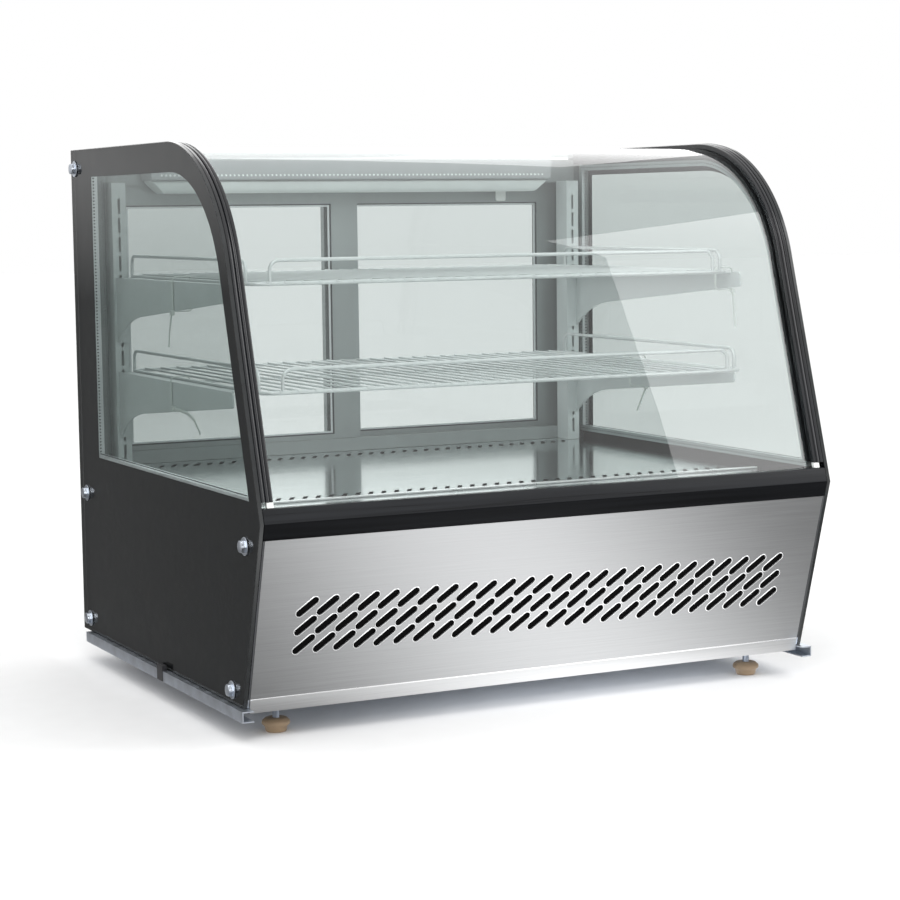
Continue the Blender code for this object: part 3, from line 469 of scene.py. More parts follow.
# %% Steel
HAIR_SCALE, HAIR_DETAIL, HAIR_TONES, HAIR_SPREAD = 900.0, 4.0, (0.93, 1.06), (0.85, 1.15)
HAIR_STRETCH, HAIR_ANISOTROPY = (0.012, 1, 1), 0.85


def brushed(name, colour, rough):
    """Metal with long fine hairs. U of the map points across the brushing."""
    made, tree, shader = tree_of(name)
    hairs = clouds(tree, HAIR_SCALE, HAIR_STRETCH, HAIR_DETAIL)
    darker, lighter = (np.minimum(np.array(colour) * tone, 1) for tone in HAIR_TONES)
    tangent = node(tree, "Tangent")
    tangent.direction_type, tangent.uv_map = "UV_MAP", "brushing"
    connect(tree, two_colours(tree, hairs, darker, lighter), shader.inputs["Base Color"],
            between(tree, hairs, *(rough * share for share in HAIR_SPREAD)), shader.inputs["Roughness"],
            tangent.outputs["Tangent"], shader.inputs["Tangent"])
    shader.inputs["Metallic"].default_value = 1.0
    shader.inputs["Anisotropic"].default_value = HAIR_ANISOTROPY
    return made


BRUSHED_STEEL = brushed("brushed_steel", (0.36, 0.365, 0.37), 0.34)
# The lip is the same sheet as the panel: this lighter copy of its brushed steel is painted light.
LIP_STEEL = brushed("folded_steel", (0.50, 0.505, 0.51), 0.34)
# On the slot rims and the fold bead this near-white steel is partly a painted highlight: it is lighter than
# the panel's own sheet so they show as bright lines, and their raised shape also catches real light.
RIM_STEEL = finish("pressed_steel", (0.86, 0.865, 0.87), 0.30, 0.9, tone=0.03, grain=0.000002)
SATIN_STEEL = finish("satin_steel", (0.56, 0.575, 0.585), 0.30, 1.0, tone=0.06, tone_scale=700,
                     stretch=(0.02, 1, 1), grain=0.000005, grain_scale=2000)
MIRROR_STEEL = finish("mirror_steel", (0.64, 0.68, 0.68), 0.12, 1.0, tone=0.03, tone_scale=260,
                      stretch=(0.03, 1, 1), grain=0.000001, grain_scale=40)
print("steels:", [look.name for look in (BRUSHED_STEEL, LIP_STEEL, RIM_STEEL, SATIN_STEEL, MIRROR_STEEL)])

# %% [markdown]
# ## Side glasses
# Each side is one flat pane, printed black on its inner face except for a
# window that follows the bend. A black plate with a hole would look thick at
# the window's edge. Here the pane is a single closed shell of clear glass, and
# only the ring of its inner face between the outline and the window is ink, so
# the print is seen through the glass as on the real pane. The edge is ground
# and polished, so it is dark and catches thin lines of light.

# %% Two printed panes
SIDE_PANE = 0.005
WINDOW_INSET, WINDOW_BACK, WINDOW_LOW = 0.036, 0.252, 0.277
EDGE = 0.0006
CLEAR, INK, GROUND = 0, 1, 2     # the numbers of a printed pane's finishes


def pane_outline(inset):
    """The bend line to the knee, then the toe and the lower back corner, all moved in by inset."""
    line = bend_line(inset, BACK_Y - inset, KNEE[1])
    line[-1] = knee(inset)
    toe = (toe_y(BOTTOM_Z + inset, inset), BOTTOM_Z + inset)
    return np.vstack((line, toe, (BACK_Y - inset, BOTTOM_Z + inset)))


def window_outline():
    """The window ring with as many points as the pane: the toe pairs with the middle of its sill."""
    line = bend_line(WINDOW_INSET, WINDOW_BACK, WINDOW_LOW)
    middle = ((line[-1, 0] + WINDOW_BACK) / 2, WINDOW_LOW)
    return np.vstack((line, middle, (WINDOW_BACK, WINDOW_LOW)))


for name, side in SIDES.items():
    outer, inner = side * HALF_WIDTH, side * (HALF_WIDTH - SIDE_PANE)
    rings = ((pane_outline(EDGE), outer), (pane_outline(0), outer - side * EDGE),
             (pane_outline(0), inner + side * EDGE), (pane_outline(EDGE), inner),
             (window_outline(), inner))
    points, faces = loft(np.stack([placed(ring, x, "YZ") for ring, x in rings]))
    size = len(rings[0][0])
    finish_numbers = [GROUND] * (3 * size) + [INK] * size + [CLEAR, CLEAR]
    piece("side_glass_" + name + "_pane", [(points, faces, finish_numbers)], [SIDE_GLASS, BLACK_INK, POLISHED_EDGE],
          "case", ["side_glass_" + name])

# %% [markdown]
# ## Inner panes and their spacers
# The windows are double: a second pane stands off on a hollow aluminium bar
# that is pierced with tiny holes to let its drying beads breathe. The bar could
# be plain, but the dotted line is what makes it read as a spacer. The holes are
# few-sided dark discs and plugs set almost flush along its face and its edge.

# %% Spacer bars, their holes and the inner panes
INNER_EDGE, SPACER_WIDTH = 0.0215, 0.008
SPACER_X, INNER_X = (0.3650, 0.3757), (0.3607, 0.3647)
SPACER_LOW, SPACER_BACK = 0.2725, 0.2700
INNER_LOW, INNER_BACK, INNER_BEVEL = 0.2623, 0.2787, 0.0003
HOLE_PITCH, HOLE_RADIUS, HOLE_SIDES = 0.0042, 0.0009, 6
DISC_HALF, DISC_PROUD = 0.0001, 0.00005


def spacer_outline(inset):
    """The bend line down to the sill, closed by the sill and the rear bar, moved in by inset."""
    line = bend_line(INNER_EDGE + inset, SPACER_BACK - inset, SPACER_LOW + inset)
    return np.vstack((line, (SPACER_BACK - inset, SPACER_LOW + inset)))


def along(outline, pitch):
    """Points at equal steps along a closed outline, by its running length."""
    closed = np.vstack((outline, outline[:1]))
    run = np.concatenate(((0,), np.cumsum(np.linalg.norm(np.diff(closed, axis=0), axis=1))))
    steps = np.arange(0, run[-1], run[-1] / int(run[-1] / pitch))[:int(run[-1] / pitch)]
    return np.stack((np.interp(steps, run, closed[:, 0]), np.interp(steps, run, closed[:, 1])), -1)


# The holes' darkness is painted shade: flush dark discs and plugs stand for the hollows.
disc = turned(((HOLE_RADIUS, -DISC_HALF), (HOLE_RADIUS, DISC_HALF)), (0, 0, 0), "X", HOLE_SIDES)
plug = wire(((-HOLE_RADIUS, 0, 0), (HOLE_RADIUS, 0, 0)), HOLE_RADIUS, (0, 0, 1), sides=HOLE_SIDES)
for name, side in SIDES.items():
    x0, x1 = sorted(side * x for x in SPACER_X)
    section = ((0, x0), (0, x1), (SPACER_WIDTH, x1), (SPACER_WIDTH, x0))
    bar = np.stack([placed(spacer_outline(share), x, "YZ") for share, x in section], 1)
    shells = [loft(bar, joined=True)]
    for hole, share, x in ((disc, SPACER_WIDTH / 2, side * (SPACER_X[0] - DISC_PROUD)),
                           (plug, SPACER_WIDTH, (x0 + x1) / 2)):
        row = along(spacer_outline(share), HOLE_PITCH)
        shells.append((*copies(hole, np.column_stack((np.full(len(row), x), row))), 1))
    piece("spacer_bar_" + name, shells, [SPACER_METAL, SPACER_HOLES], "case",
          ["spacer_" + name])
    edge = np.vstack((bend_line(INNER_EDGE, INNER_BACK, SPACER_LOW),
                      (screen_y(SPACER_LOW, INNER_EDGE), INNER_LOW), (INNER_BACK, INNER_LOW)))
    piece("inner_pane_" + name, [plate(edge, *sorted(side * x for x in INNER_X), "YZ", INNER_BEVEL)],
          [INNER_GLASS], "case", ["inner_glass_" + name])

# %% [markdown]
# ## The bent glass and its trims
# One pane goes from the sill over the shoulder to the rear. Its two ends sit in
# dark channel mouldings with fine lengthwise beads, and a white plug closes the
# foot of each. The pane is a thin section carried along the bend line. The
# beads could be bump, but their highlights run the whole length of the front,
# so they are real, as small waves in the trim's section.

# %% Bent pane, trims and plugs
GLASS_SET_IN, FRONT_PANE, GLASS_HALF, GLASS_BACK, GLASS_CORNER = 0.0075, 0.005, 0.3700, 0.2792, 0.0008
TRIM_LOW = 0.2795
PLUG_CORNERS, PLUG_ROUND = (0.3612, 0.0012, 0.3695, 0.0070), 0.0012        # corners in (x, inset)
PLUG_RINGS = ((0.2728, 0.0004), (0.2732, 0), (0.2786, 0), (0.2791, 0.0004))   # (height, drawn in by)
TRIM_SECTION = np.array((
    (.3757, .0205), (.3757, .0012), (.3750, .0005), (.3722, .0005), (.3714, .0010), (.3711, .0020),
    (.3704, .0023), (.3698, .0018), (.3695, .0009), (.3689, .0005), (.3672, .0005), (.3665, .0009),
    (.3661, .0018), (.3654, .0021), (.3648, .0016), (.3640, .0009), (.3624, .0009), (.3615, .0015),
    (.3610, .0032), (.3610, .0072), (.3703, .0072), (.3703, .0128), (.3610, .0128), (.3610, .0205)))
pane = rectangle(-GLASS_HALF, GLASS_SET_IN, GLASS_HALF, GLASS_SET_IN + FRONT_PANE)
piece("front_glass_bent", [bent_bar(rounded(pane, GLASS_CORNER, 3), GLASS_BACK, PLUG_RINGS[0][0])],
      [CLEAR_GLASS], "case", ["front_glass"])
for name, side in SIDES.items():
    piece("front_trim_beaded_" + name, [bent_bar(TRIM_SECTION * (side, 1), GLASS_BACK, TRIM_LOW)],
          [BLACK_GLOSS], "case", ["front_trim_" + name])
    plug = rounded(rectangle(*PLUG_CORNERS), PLUG_ROUND) * (side, 1)
    rings = []
    for height, cut in PLUG_RINGS:
        ring = shrunk(plug, cut)
        rings.append(np.column_stack((ring[:, 0], screen_y(height, ring[:, 1]), np.full(len(ring), height))))
    piece("trim_plug_" + name, [loft(np.stack(rings))], [WHITE_PLASTIC], "case")

# %% [markdown]
# ## Sill and front panel
# The dark sill is one extrusion bent over the knee. Its faces below the knee
# get a darker, less shiny copy of its finish: painted shade. Below it the steel
# panel carries three rows of slanted slots, each pressed with a raised rim, and
# its lower edge is folded to a narrow lip. Cutting slots with a Boolean leaves
# knife edges, so the sheet is filled round slightly larger holes and each hole
# gets a rim: a small section carried round a slot outline. The fold gets a
# bead. Rims and bead shine as bright lines: they catch light by their shape and
# are also painted lighter than the panel's steel, a painted highlight. The lip
# wears a lighter copy of the panel's steel, painted light. A near-black sheet
# just behind the slots is painted shade that makes them read black, and thin
# gaskets close the panel's two ends.

# %% The sill
CABINET_X = 0.3757
SILL_BOTTOM, SILL_TOP, SILL_THICK, SILL_ROUND, SILL_EDGE = 0.2372, 0.2725, 0.010, 0.0016, 0.0005
sill = np.array(((screen_y(SILL_TOP), SILL_TOP), KNEE, (toe_y(SILL_BOTTOM), SILL_BOTTOM),
                 (toe_y(SILL_BOTTOM, SILL_THICK), SILL_BOTTOM), knee(SILL_THICK),
                 (screen_y(SILL_TOP, SILL_THICK), SILL_TOP)))
sill_points, sill_faces = plate(rounded(sill, SILL_ROUND), -CABINET_X, CABINET_X, "YZ", SILL_EDGE)
# Faces below the knee get the darker copy: painted shade, because they face down.
painted_shade_below_knee = [int(sill_points[face][:, 2].mean() < KNEE[1]) for face in sill_faces]
piece("front_sill_moulding", [(sill_points, sill_faces, painted_shade_below_knee)], [SILL_PLASTIC, SILL_PAINTED_SHADE],
      "case", ["front_sill"])

# %% Slots and their rims
PANEL_HALF, PANEL_SHEET, PANEL_TOP = 0.3733, 0.0012, SILL_BOTTOM - 0.0003
COLUMNS, ROWS, PITCH, MIDDLE_DOWN = 26, 3, (0.02516, 0.0232), 0.108
SLOT_LENGTH, SLOT_WIDTH, SLOT_TILT = 0.0318, 0.0085, radians(39)
HOLE_GROWTH = 0.0010     # the sheet is cut this much wider than a slot, under its rim
RIM = ((0.0012, 0.0), (0.0009, 0.0004), (0.0005, 0.0006), (0.0001, 0.0004), (0.0, 0.0),
       (0.0, -0.0012), (0.0012, -0.0012))     # (how far outside the slot, height)


def slot_outline(grow, arc=7):
    """A slot with round ends about its own middle: two half circles, half a width plus grow in
    radius, set apart along the tilt."""
    angle = np.concatenate((np.linspace(-pi / 2, pi / 2, arc), np.linspace(pi / 2, 3 * pi / 2, arc)))
    ends = np.repeat((1, -1), arc) * (SLOT_LENGTH - SLOT_WIDTH) / 2
    u = ends + (SLOT_WIDTH / 2 + grow) * np.cos(angle)
    v = (SLOT_WIDTH / 2 + grow) * np.sin(angle)
    return np.stack((u * cos(SLOT_TILT) - v * sin(SLOT_TILT), u * sin(SLOT_TILT) + v * cos(SLOT_TILT)), -1)


u, v = np.meshgrid((np.arange(COLUMNS) - (COLUMNS - 1) / 2) * PITCH[0],
                   (np.arange(ROWS) - (ROWS - 1) / 2) * PITCH[1] - MIDDLE_DOWN)
middles = np.column_stack((u.ravel(), v.ravel()))
rim = loft(np.stack([placed(slot_outline(grow), height, "XY") for grow, height in RIM], 1), joined=True)
rims, rim_faces = copies(rim, np.column_stack((middles, np.zeros(len(middles)))))
print("slots pressed:", len(middles))

# %% The panel with its fold and bead
FOLD_Z, LIP_Z, LIP_SET_BACK, LIP_REACH, FOLD_GAP = 0.0497, 0.0331, 0.0026, 0.0156, 0.0006
LIP_ROUND, LIP_EDGE = 0.0009, 0.0002
BEAD_RADIUS, BEAD_TIP, BEAD_TAPER, BEAD_OFFSET = 0.0013, 0.0009, 0.0005, (0.0011, -0.0004)


def on_panel(points):
    """(x, distance up from the panel's top edge, height off its face) as x, y and z: the top
    edge, less the run down the panel, plus the normal times the height."""
    yz = np.array((toe_y(PANEL_TOP), PANEL_TOP)) - points[:, 1:2] * TOE_RUN + points[:, 2:] * TOE_NORMAL
    return np.column_stack((points[:, 0], yz))


def map_brushing(made):
    """A UV map whose U is the height and V the width, in metres, so U points across the hairs."""
    mesh = made.data
    points, corners = np.empty(len(mesh.vertices) * 3), np.empty(len(mesh.loops), int)
    mesh.vertices.foreach_get("co", points)
    mesh.loops.foreach_get("vertex_index", corners)
    uv = points.reshape(-1, 3)[corners][:, (2, 0)]
    mesh.uv_layers.new(name="brushing").data.foreach_set("uv", uv.ravel())


panel_length = (PANEL_TOP - FOLD_Z) / -TOE_RUN[1]
holes = [slot_outline(HOLE_GROWTH) + middle for middle in middles]
sheet, sheet_faces = sheet_with_holes([rectangle(-PANEL_HALF, -panel_length, PANEL_HALF, 0)] + holes,
                                      -PANEL_SHEET, 0, "XY")
fold = np.array((toe_y(FOLD_Z), FOLD_Z))
lip = np.array((fold + (0, -FOLD_GAP), fold + (LIP_SET_BACK, LIP_Z - FOLD_Z), (fold[0] + LIP_REACH, LIP_Z),
                (fold[0] + LIP_REACH, LIP_Z + PANEL_SHEET),
                fold + (LIP_SET_BACK + PANEL_SHEET, LIP_Z + PANEL_SHEET - FOLD_Z), fold + (PANEL_SHEET, 0)))
bead = turned(((BEAD_TIP, -PANEL_HALF), (BEAD_RADIUS, BEAD_TAPER - PANEL_HALF),
               (BEAD_RADIUS, PANEL_HALF - BEAD_TAPER), (BEAD_TIP, PANEL_HALF)),
              (0, *(fold + BEAD_OFFSET)), "X", 12)
# The lip's lighter steel is painted light. The near-white rims and bead are partly a painted highlight.
panel = piece("front_panel_pressed",
              [(on_panel(sheet), sheet_faces), (on_panel(rims), rim_faces, 2),
               (*plate(rounded(lip, LIP_ROUND, 3), -PANEL_HALF, PANEL_HALF, "YZ", LIP_EDGE), 1), (*bead, 2)],
              [BRUSHED_STEEL, LIP_STEEL, RIM_STEEL], "case", ["front_grille_panel"], crease=40)
map_brushing(panel)

# %% Painted shade behind the slots, and gaskets
SHADE_SHEET_CORNERS, SHADE_SHEET_DEPTHS = (-0.345, -0.160, 0.345, -0.056), (0.0018, 0.0060)
GASKET_X, GASKET_DEPTHS = 0.3736, (0.0, 0.0007)


def behind_panel(corners, depths):
    """A rectangle on the panel's own axes made thick between two depths behind its face."""
    flat = np.column_stack((rectangle(*corners), np.zeros(4)))
    return loft(np.stack([on_panel(flat - (0, 0, depth)) for depth in depths]))


# Painted shade: a near-black sheet just behind the slots.
piece("slot_shade_sheet", [behind_panel(SHADE_SHEET_CORNERS, SHADE_SHEET_DEPTHS)], [SLOT_PAINTED_SHADE], "case")
for name, side in SIDES.items():
    piece("panel_gasket_" + name, [behind_panel((side * GASKET_X, -panel_length, side * CABINET_X, 0),
                                                GASKET_DEPTHS)], [DARK_SEALANT], "case")

# %% [markdown]
# ## Lamp bar
# Under the top glass at the rear hangs a grey housing with a frosted diffuser,
# whose ends slope in and whose lower edges are soft. Above the diffuser runs a
# row of small lights. The shape is one rounded section whose width grows with
# height. The lights are few-sided lenses on the front face, lit softly.

# %% A tapered bar and lit plastic
END_SIZE = 0.94     # the section's size at the very ends
LAMP_GLOW = (0.93, 1.0, 0.99, 1)


def tapered_bar(section, half_low, half_high, ends=0.001):
    """A section in (y, z) carried along X. A point's reach in X grows evenly with its height."""
    low, high = section[:, 1].min(), section[:, 1].max()
    reach = half_low + (half_high - half_low) * (section[:, 1] - low) / (high - low)
    middle = section.mean(0)
    return loft(np.stack([np.column_stack((share * reach, middle + (section - middle) * size)) for share, size
                          in ((-1, END_SIZE), (-1 + ends, 1), (1 - ends, 1), (1, END_SIZE))]))


def lit(name, colour, strength, rough):
    """A milky finish that also shines a little by itself."""
    made = finish(name, colour, rough, tone=0.03, tone_scale=60, grain=0.00002, grain_scale=300)
    shader = made.node_tree.nodes["Principled BSDF"]
    shader.inputs["Emission Color"].default_value = LAMP_GLOW
    shader.inputs["Emission Strength"].default_value = strength
    return made


print("helpers made: tapered_bar, lit")

# %% Housing, diffuser and lenses
DIFFUSER = lit("frosted_diffuser", (0.66, 0.70, 0.69), 0.03, 0.35)
LENS = lit("lamp_lens", (0.80, 0.84, 0.83), 0.10, 0.3)
LAMP_BACK, LAMP_DEPTH, TROUGH_DEPTHS = 0.2787, 0.042, (0.032, 0.038)
HOUSING_Z, HOUSING_ROUND, HOUSING_HALF = (0.6385, 0.6665), 0.004, (0.299, 0.301)
TROUGH_Z, TROUGH_ROUND, TROUGH_HALF = (0.6215, 0.6382), 0.006, (0.279, 0.297)
LENS_COUNT, LENS_HALF, LENS_Z = 96, 0.285, 0.6450
LENS_PROFILE = ((0.0004, -0.0012), (0.0014, -0.0006), (0.0015, 0.0001))
housing = rounded(rectangle(LAMP_BACK - LAMP_DEPTH, HOUSING_Z[0], LAMP_BACK, HOUSING_Z[1]), HOUSING_ROUND)
piece("lamp_housing_bar", [tapered_bar(housing, *HOUSING_HALF)], [GREY_PLASTIC], "case",
      ["lamp_housing"])
trough = ((LAMP_BACK - TROUGH_DEPTHS[0], TROUGH_Z[0]), (LAMP_BACK, TROUGH_Z[0]), (LAMP_BACK, TROUGH_Z[1]),
          (LAMP_BACK - TROUGH_DEPTHS[1], TROUGH_Z[1]))
lens = turned(LENS_PROFILE, (0, LAMP_BACK - LAMP_DEPTH, LENS_Z), "Y", 8)
places = np.column_stack((np.linspace(-LENS_HALF, LENS_HALF, LENS_COUNT), np.zeros((LENS_COUNT, 2))))
piece("lamp_diffuser_bar", [tapered_bar(rounded(trough, TROUGH_ROUND), *TROUGH_HALF),
                            (*copies(lens, places), 1)],
      [DIFFUSER, LENS], "case", ["lamp_diffuser"])

# %% [markdown]
# ## Wire shelves
# A shelf is welded wire: a thick border with round corners, thin wires from
# front to back that lie on it and stop just past it, so their ends show as a
# row of beads, a cross wire under the middle, and low galleries bent from one
# wire each. Everything is a tube along a path. The many short wires are one
# tube copied by its offsets.

# %% Wires, borders and galleries
SHELF_HALF, SHELF_BACK, SHELF_ROUND = 0.3285, 0.260, 0.016
SHELF_LEVELS = {"lower": (0.3920, -0.2095), "upper": (0.5160, -0.1760)}     # (top, front)
BORDER_WIRE, DECK_WIRE, CROSS_WIRE, GALLERY_WIRE = 0.0024, 0.0015, 0.0018, 0.0022     # radii
BORDER_DOWN, CROSS_DOWN, CROSS_SHORT = 0.0012, 0.0034, 0.002
WIRE_COUNT, WIRE_MARGIN = 29, 0.022
WIRE_FRONT = ((0.0004, 0.0020), (0.0012, 0.0004), (0.0070, 0.0004))     # (in from the edge, down)
WIRE_REAR = ((0.0070, 0.0004), (0.0004, 0.0004))
GALLERY_RISE, GALLERY_DOWN, GALLERY_IN = 0.0255, 0.001, 0.0025
GALLERY_CORNER, GALLERY_FRONT, GALLERY_BACK = 0.0225, 0.020, 0.014     # where the ends stand


def gallery(start, end, rise, across, corner=0.012, steps=6):
    """Up from start, a quarter circle, level, a quarter circle, and down to end."""
    start, end = np.array(start), np.array(end)
    ahead = (end - start) / np.linalg.norm(end - start)
    t = np.linspace(0, pi / 2, steps)[:, None]
    inwards = (1 - np.cos(t)) * corner * ahead
    upwards = (rise - corner * (1 - np.sin(t))) * np.array((0, 0, 1))
    return wire(np.vstack((start, start + inwards + upwards, end + (upwards - inwards)[::-1], end)),
                GALLERY_WIRE, across)


for level, (top, front) in SHELF_LEVELS.items():
    ring = rounded(rectangle(-SHELF_HALF + BORDER_WIRE, front + BORDER_WIRE, SHELF_HALF - BORDER_WIRE,
                             SHELF_BACK - BORDER_WIRE), SHELF_ROUND, 8)
    rim_wire = wire(placed(ring, top - BORDER_DOWN - BORDER_WIRE / 2, "XY"), BORDER_WIRE, (0, 0, 1),
                    joined=True)
    single = wire([(0, front + into, top - down) for into, down in WIRE_FRONT]
                  + [(0, SHELF_BACK - into, top - down) for into, down in WIRE_REAR],
                  DECK_WIRE, (1, 0, 0), sides=6)
    pitch = (2 * SHELF_HALF - WIRE_MARGIN) / WIRE_COUNT
    places = np.zeros((WIRE_COUNT, 3))
    places[:, 0] = (np.arange(WIRE_COUNT) - (WIRE_COUNT - 1) / 2) * pitch
    middle_y = (front + SHELF_BACK) / 2
    cross = wire([(side * (SHELF_HALF - CROSS_SHORT), middle_y, top - CROSS_DOWN) for side in SIDES.values()],
                 CROSS_WIRE, (0, 0, 1))
    foot, reach = top - GALLERY_DOWN, SHELF_HALF - GALLERY_IN
    ends = [(side * (reach - GALLERY_CORNER), front + GALLERY_IN, foot) for side in SIDES.values()]
    hoops = [gallery(*ends, GALLERY_RISE, (0, 1, 0))]
    for x in (-reach, reach):
        hoops.append(gallery((x, front + GALLERY_FRONT, foot), (x, SHELF_BACK - GALLERY_BACK, foot),
                             GALLERY_RISE, (1, 0, 0)))
    piece("wire_shelf_" + level, [rim_wire, copies(single, places), cross] + hoops, [WIRE_ZINC],
          "shelf_" + level, ["shelf_" + level], crease=60)

# %% [markdown]
# ## Cable ties
# Nylon straps hold the shelves to their brackets for the journey: a loop round
# bracket and border wire, a square locking head below, and a free tail. A strap
# is flat, so it is the wire helper with one direction squeezed. The head is a
# softened block. Each rides on its shelf, since it lifts with it.

# %% Four straps
TIES = (     # (shelf, side, y of the loop, (y, z) of the points of the free tail)
    ("upper", -1, 0.030, ((0.030, 0.474), (0.034, 0.466), (0.040, 0.450), (0.043, 0.432))),
    ("lower", -1, 0.044, ((0.034, 0.356), (0.010, 0.356), (-0.018, 0.354), (-0.040, 0.348), (-0.059, 0.333))),
    ("upper", 1, -0.150, ((-0.150, 0.488), (-0.152, 0.474), (-0.154, 0.458), (-0.157, 0.442))),
    ("lower", 1, 0.062, ((0.062, 0.350), (0.068, 0.342), (0.078, 0.328), (0.086, 0.316))))
LOOP_X, LOOP_ROUND, LOOP_OVER, LOOP_UNDER = (0.3232, 0.3486), 0.006, 0.0026, 0.002
LOOP_STRAP, TAIL_STRAP, TAIL_X = (0.0022, 0.32), (0.0007, 3.0), 0.3500     # (half width, flatness)
TIE_HEAD_X, TIE_HEAD_HALF, TIE_HEAD_Z, TIE_HEAD_ROUND = (0.3472, 0.3518), 0.003, (-0.0045, 0.0015), 0.001
for number, (level, side, y, tail) in enumerate(TIES, 1):
    low = tail[0][1] + LOOP_UNDER
    loop = rounded(rectangle(LOOP_X[0], low, LOOP_X[1], SHELF_LEVELS[level][0] + LOOP_OVER), LOOP_ROUND, 5)
    ring = np.column_stack((side * loop[:, 0], np.full(len(loop), y), loop[:, 1]))
    strap = wire(ring, LOOP_STRAP[0], (0, 1, 0), flat=LOOP_STRAP[1], joined=True)
    free = wire([(side * TAIL_X, *point) for point in tail], TAIL_STRAP[0], (1, 0, 0), flat=TAIL_STRAP[1])
    block = rectangle(tail[0][0] - TIE_HEAD_HALF, low + TIE_HEAD_Z[0], tail[0][0] + TIE_HEAD_HALF,
                      low + TIE_HEAD_Z[1])
    head = plate(rounded(block, TIE_HEAD_ROUND), *sorted(side * x for x in TIE_HEAD_X), "YZ")
    piece("cable_tie_%d" % number, [strap, free, head], [NYLON], "shelf_" + level)

# %% [markdown]
# ## Door details
# The solids give each door its frame and pane. The real ones also have a
# rubber bead round the glass, a pale spacer strip at its edge and a moulded cup
# in the pull. Each is a small section carried round a rectangle, riding on its
# own door.

# %% Beads, strips and pulls
WINDOW_Z, DOOR_STILE = (0.2865, 0.6065), 0.040
PULL_HALF, PULL_Z, PULL_ROUND, PULL_FLOOR = 0.0088, (0.3902, 0.4998), 0.006, (0.0010, 0.0020)
BEAD = ((0.0001, -0.0052), (0.0012, -0.0052), (0.0018, -0.0046), (0.0018, -0.0022), (0.0001, -0.0022))
STRIP = ((0.0019, -0.0040), (0.0042, -0.0040), (0.0042, -0.0022), (0.0019, -0.0022))
CUP = ((0, 0.0020), (0, 0.0058), (0.0004, 0.0060), (0.0012, 0.0058), (0.0016, 0.0020))


def round_door(window, section, y, turn=1):
    """A section of (share, distance) round a rectangle, the distance measured from the door's
    middle, or the other way when turn is -1."""
    return border(window, [(share, y + turn * distance) for share, distance in section], "XZ")


for name, side in SIDES.items():
    low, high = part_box("door_frame_" + name)
    y = (low[1] + high[1]) / 2
    window = rectangle(low[0] + DOOR_STILE, WINDOW_Z[0], high[0] - DOOR_STILE, WINDOW_Z[1])
    piece("door_bead_" + name, [round_door(window, BEAD, y), round_door(window, BEAD, y, -1),
                                (*round_door(window, STRIP, y), 1)], [DARK_SEALANT, SPACER_METAL],
          "door_" + name)
    pull = side * (high[0] if side > 0 else -low[0]) - side * DOOR_STILE / 2
    mouth = rounded(rectangle(pull - PULL_HALF, PULL_Z[0], pull + PULL_HALF, PULL_Z[1]), PULL_ROUND, 6)
    floor = plate(mouth, y + PULL_FLOOR[0], y + PULL_FLOOR[1], "XZ")
    piece("door_pull_" + name, [round_door(mouth, CUP, y), floor], [MOULDED_BLACK], "door_" + name)

# %% [markdown]
# ## Screws and feet
# Hex screws with washers hold the side glass, and the case stands on studs in
# waisted pads. A hex head is a ring of points at the distance of six flats, cut
# off by a circle at its top, which gives the curved chamfer of a real head. The
# stud's thread is a true helix: its radius is a wave of height and angle
# together.

# %% Ten screws
BOLTS_YZ = ((0.304, 0.655), (0.290, 0.227), (0.290, 0.058), (-0.2285, 0.056), (-0.277, 0.227))
HEAD_ACROSS, HEAD_HEIGHT, HEAD_PROUD, BOLT_GAP = 0.0066, 0.0053, 0.0016, 0.0003
HEAD_RINGS = ((0, None), (0.82, None), (0.93, 1.06), (1, 0.96))     # (share of height, round limit)
WASHER = np.array(((0.0103, 0), (0.0105, 0.0003), (0.0105, 0.0013), (0.0102, 0.0016)))
SHANK = np.array(((0.0030, -0.0155), (0.0030, 0.0002)))


def hex_head(x, y, z, side, sides=48):
    """Rings whose radius is the distance to six flats, or the ring's own limit if that is less."""
    angle = np.linspace(0, 2 * pi, sides, endpoint=False)
    flats = HEAD_ACROSS / np.cos((angle % (pi / 3)) - pi / 6)
    rings = []
    for share, limit in HEAD_RINGS:
        radius = np.minimum(flats, HEAD_ACROSS * limit) if limit else flats
        rings.append(np.column_stack((np.full(sides, x + side * HEAD_HEIGHT * share),
                                      y + radius * np.cos(angle), z + radius * np.sin(angle))))
    return loft(np.stack(rings))


for name, side in SIDES.items():
    face = side * (HALF_WIDTH + BOLT_GAP)
    for number, (y, z) in enumerate(BOLTS_YZ, 1):
        piece("side_screw_%s_%d" % (name, number),
              [turned(WASHER * (1, side), (face, y, z), "X"), hex_head(face + side * HEAD_PROUD, y, z, side),
               turned(SHANK * (1, side), (face, y, z), "X", 12)],
              [ZINC], "case", ["side_bolt_%s_%d" % (name, number)])

# %% Four feet
FOOT_X, FOOT_Y, STUD_Z = 0.325, 0.219, (0.0150, 0.0560)
THREAD_PITCH, STUD_RADIUS, THREAD_DEPTH, RINGS_PER_TURN = 0.00125, 0.0040, 0.00028, 6
TAPER_LENGTH, TIP_SIZE = 0.0012, 0.82
PAD = np.array(((0.0001, 0.0162), (0.0118, 0.0162), (0.0128, 0.0158), (0.0158, 0.0132), (0.0165, 0.0120),
                (0.0165, 0.0098), (0.0160, 0.0086), (0.0138, 0.0068), (0.0130, 0.0050), (0.0124, 0.0014),
                (0.0116, 0.0002), (0.0108, 0.0), (0.0001, 0.0)))


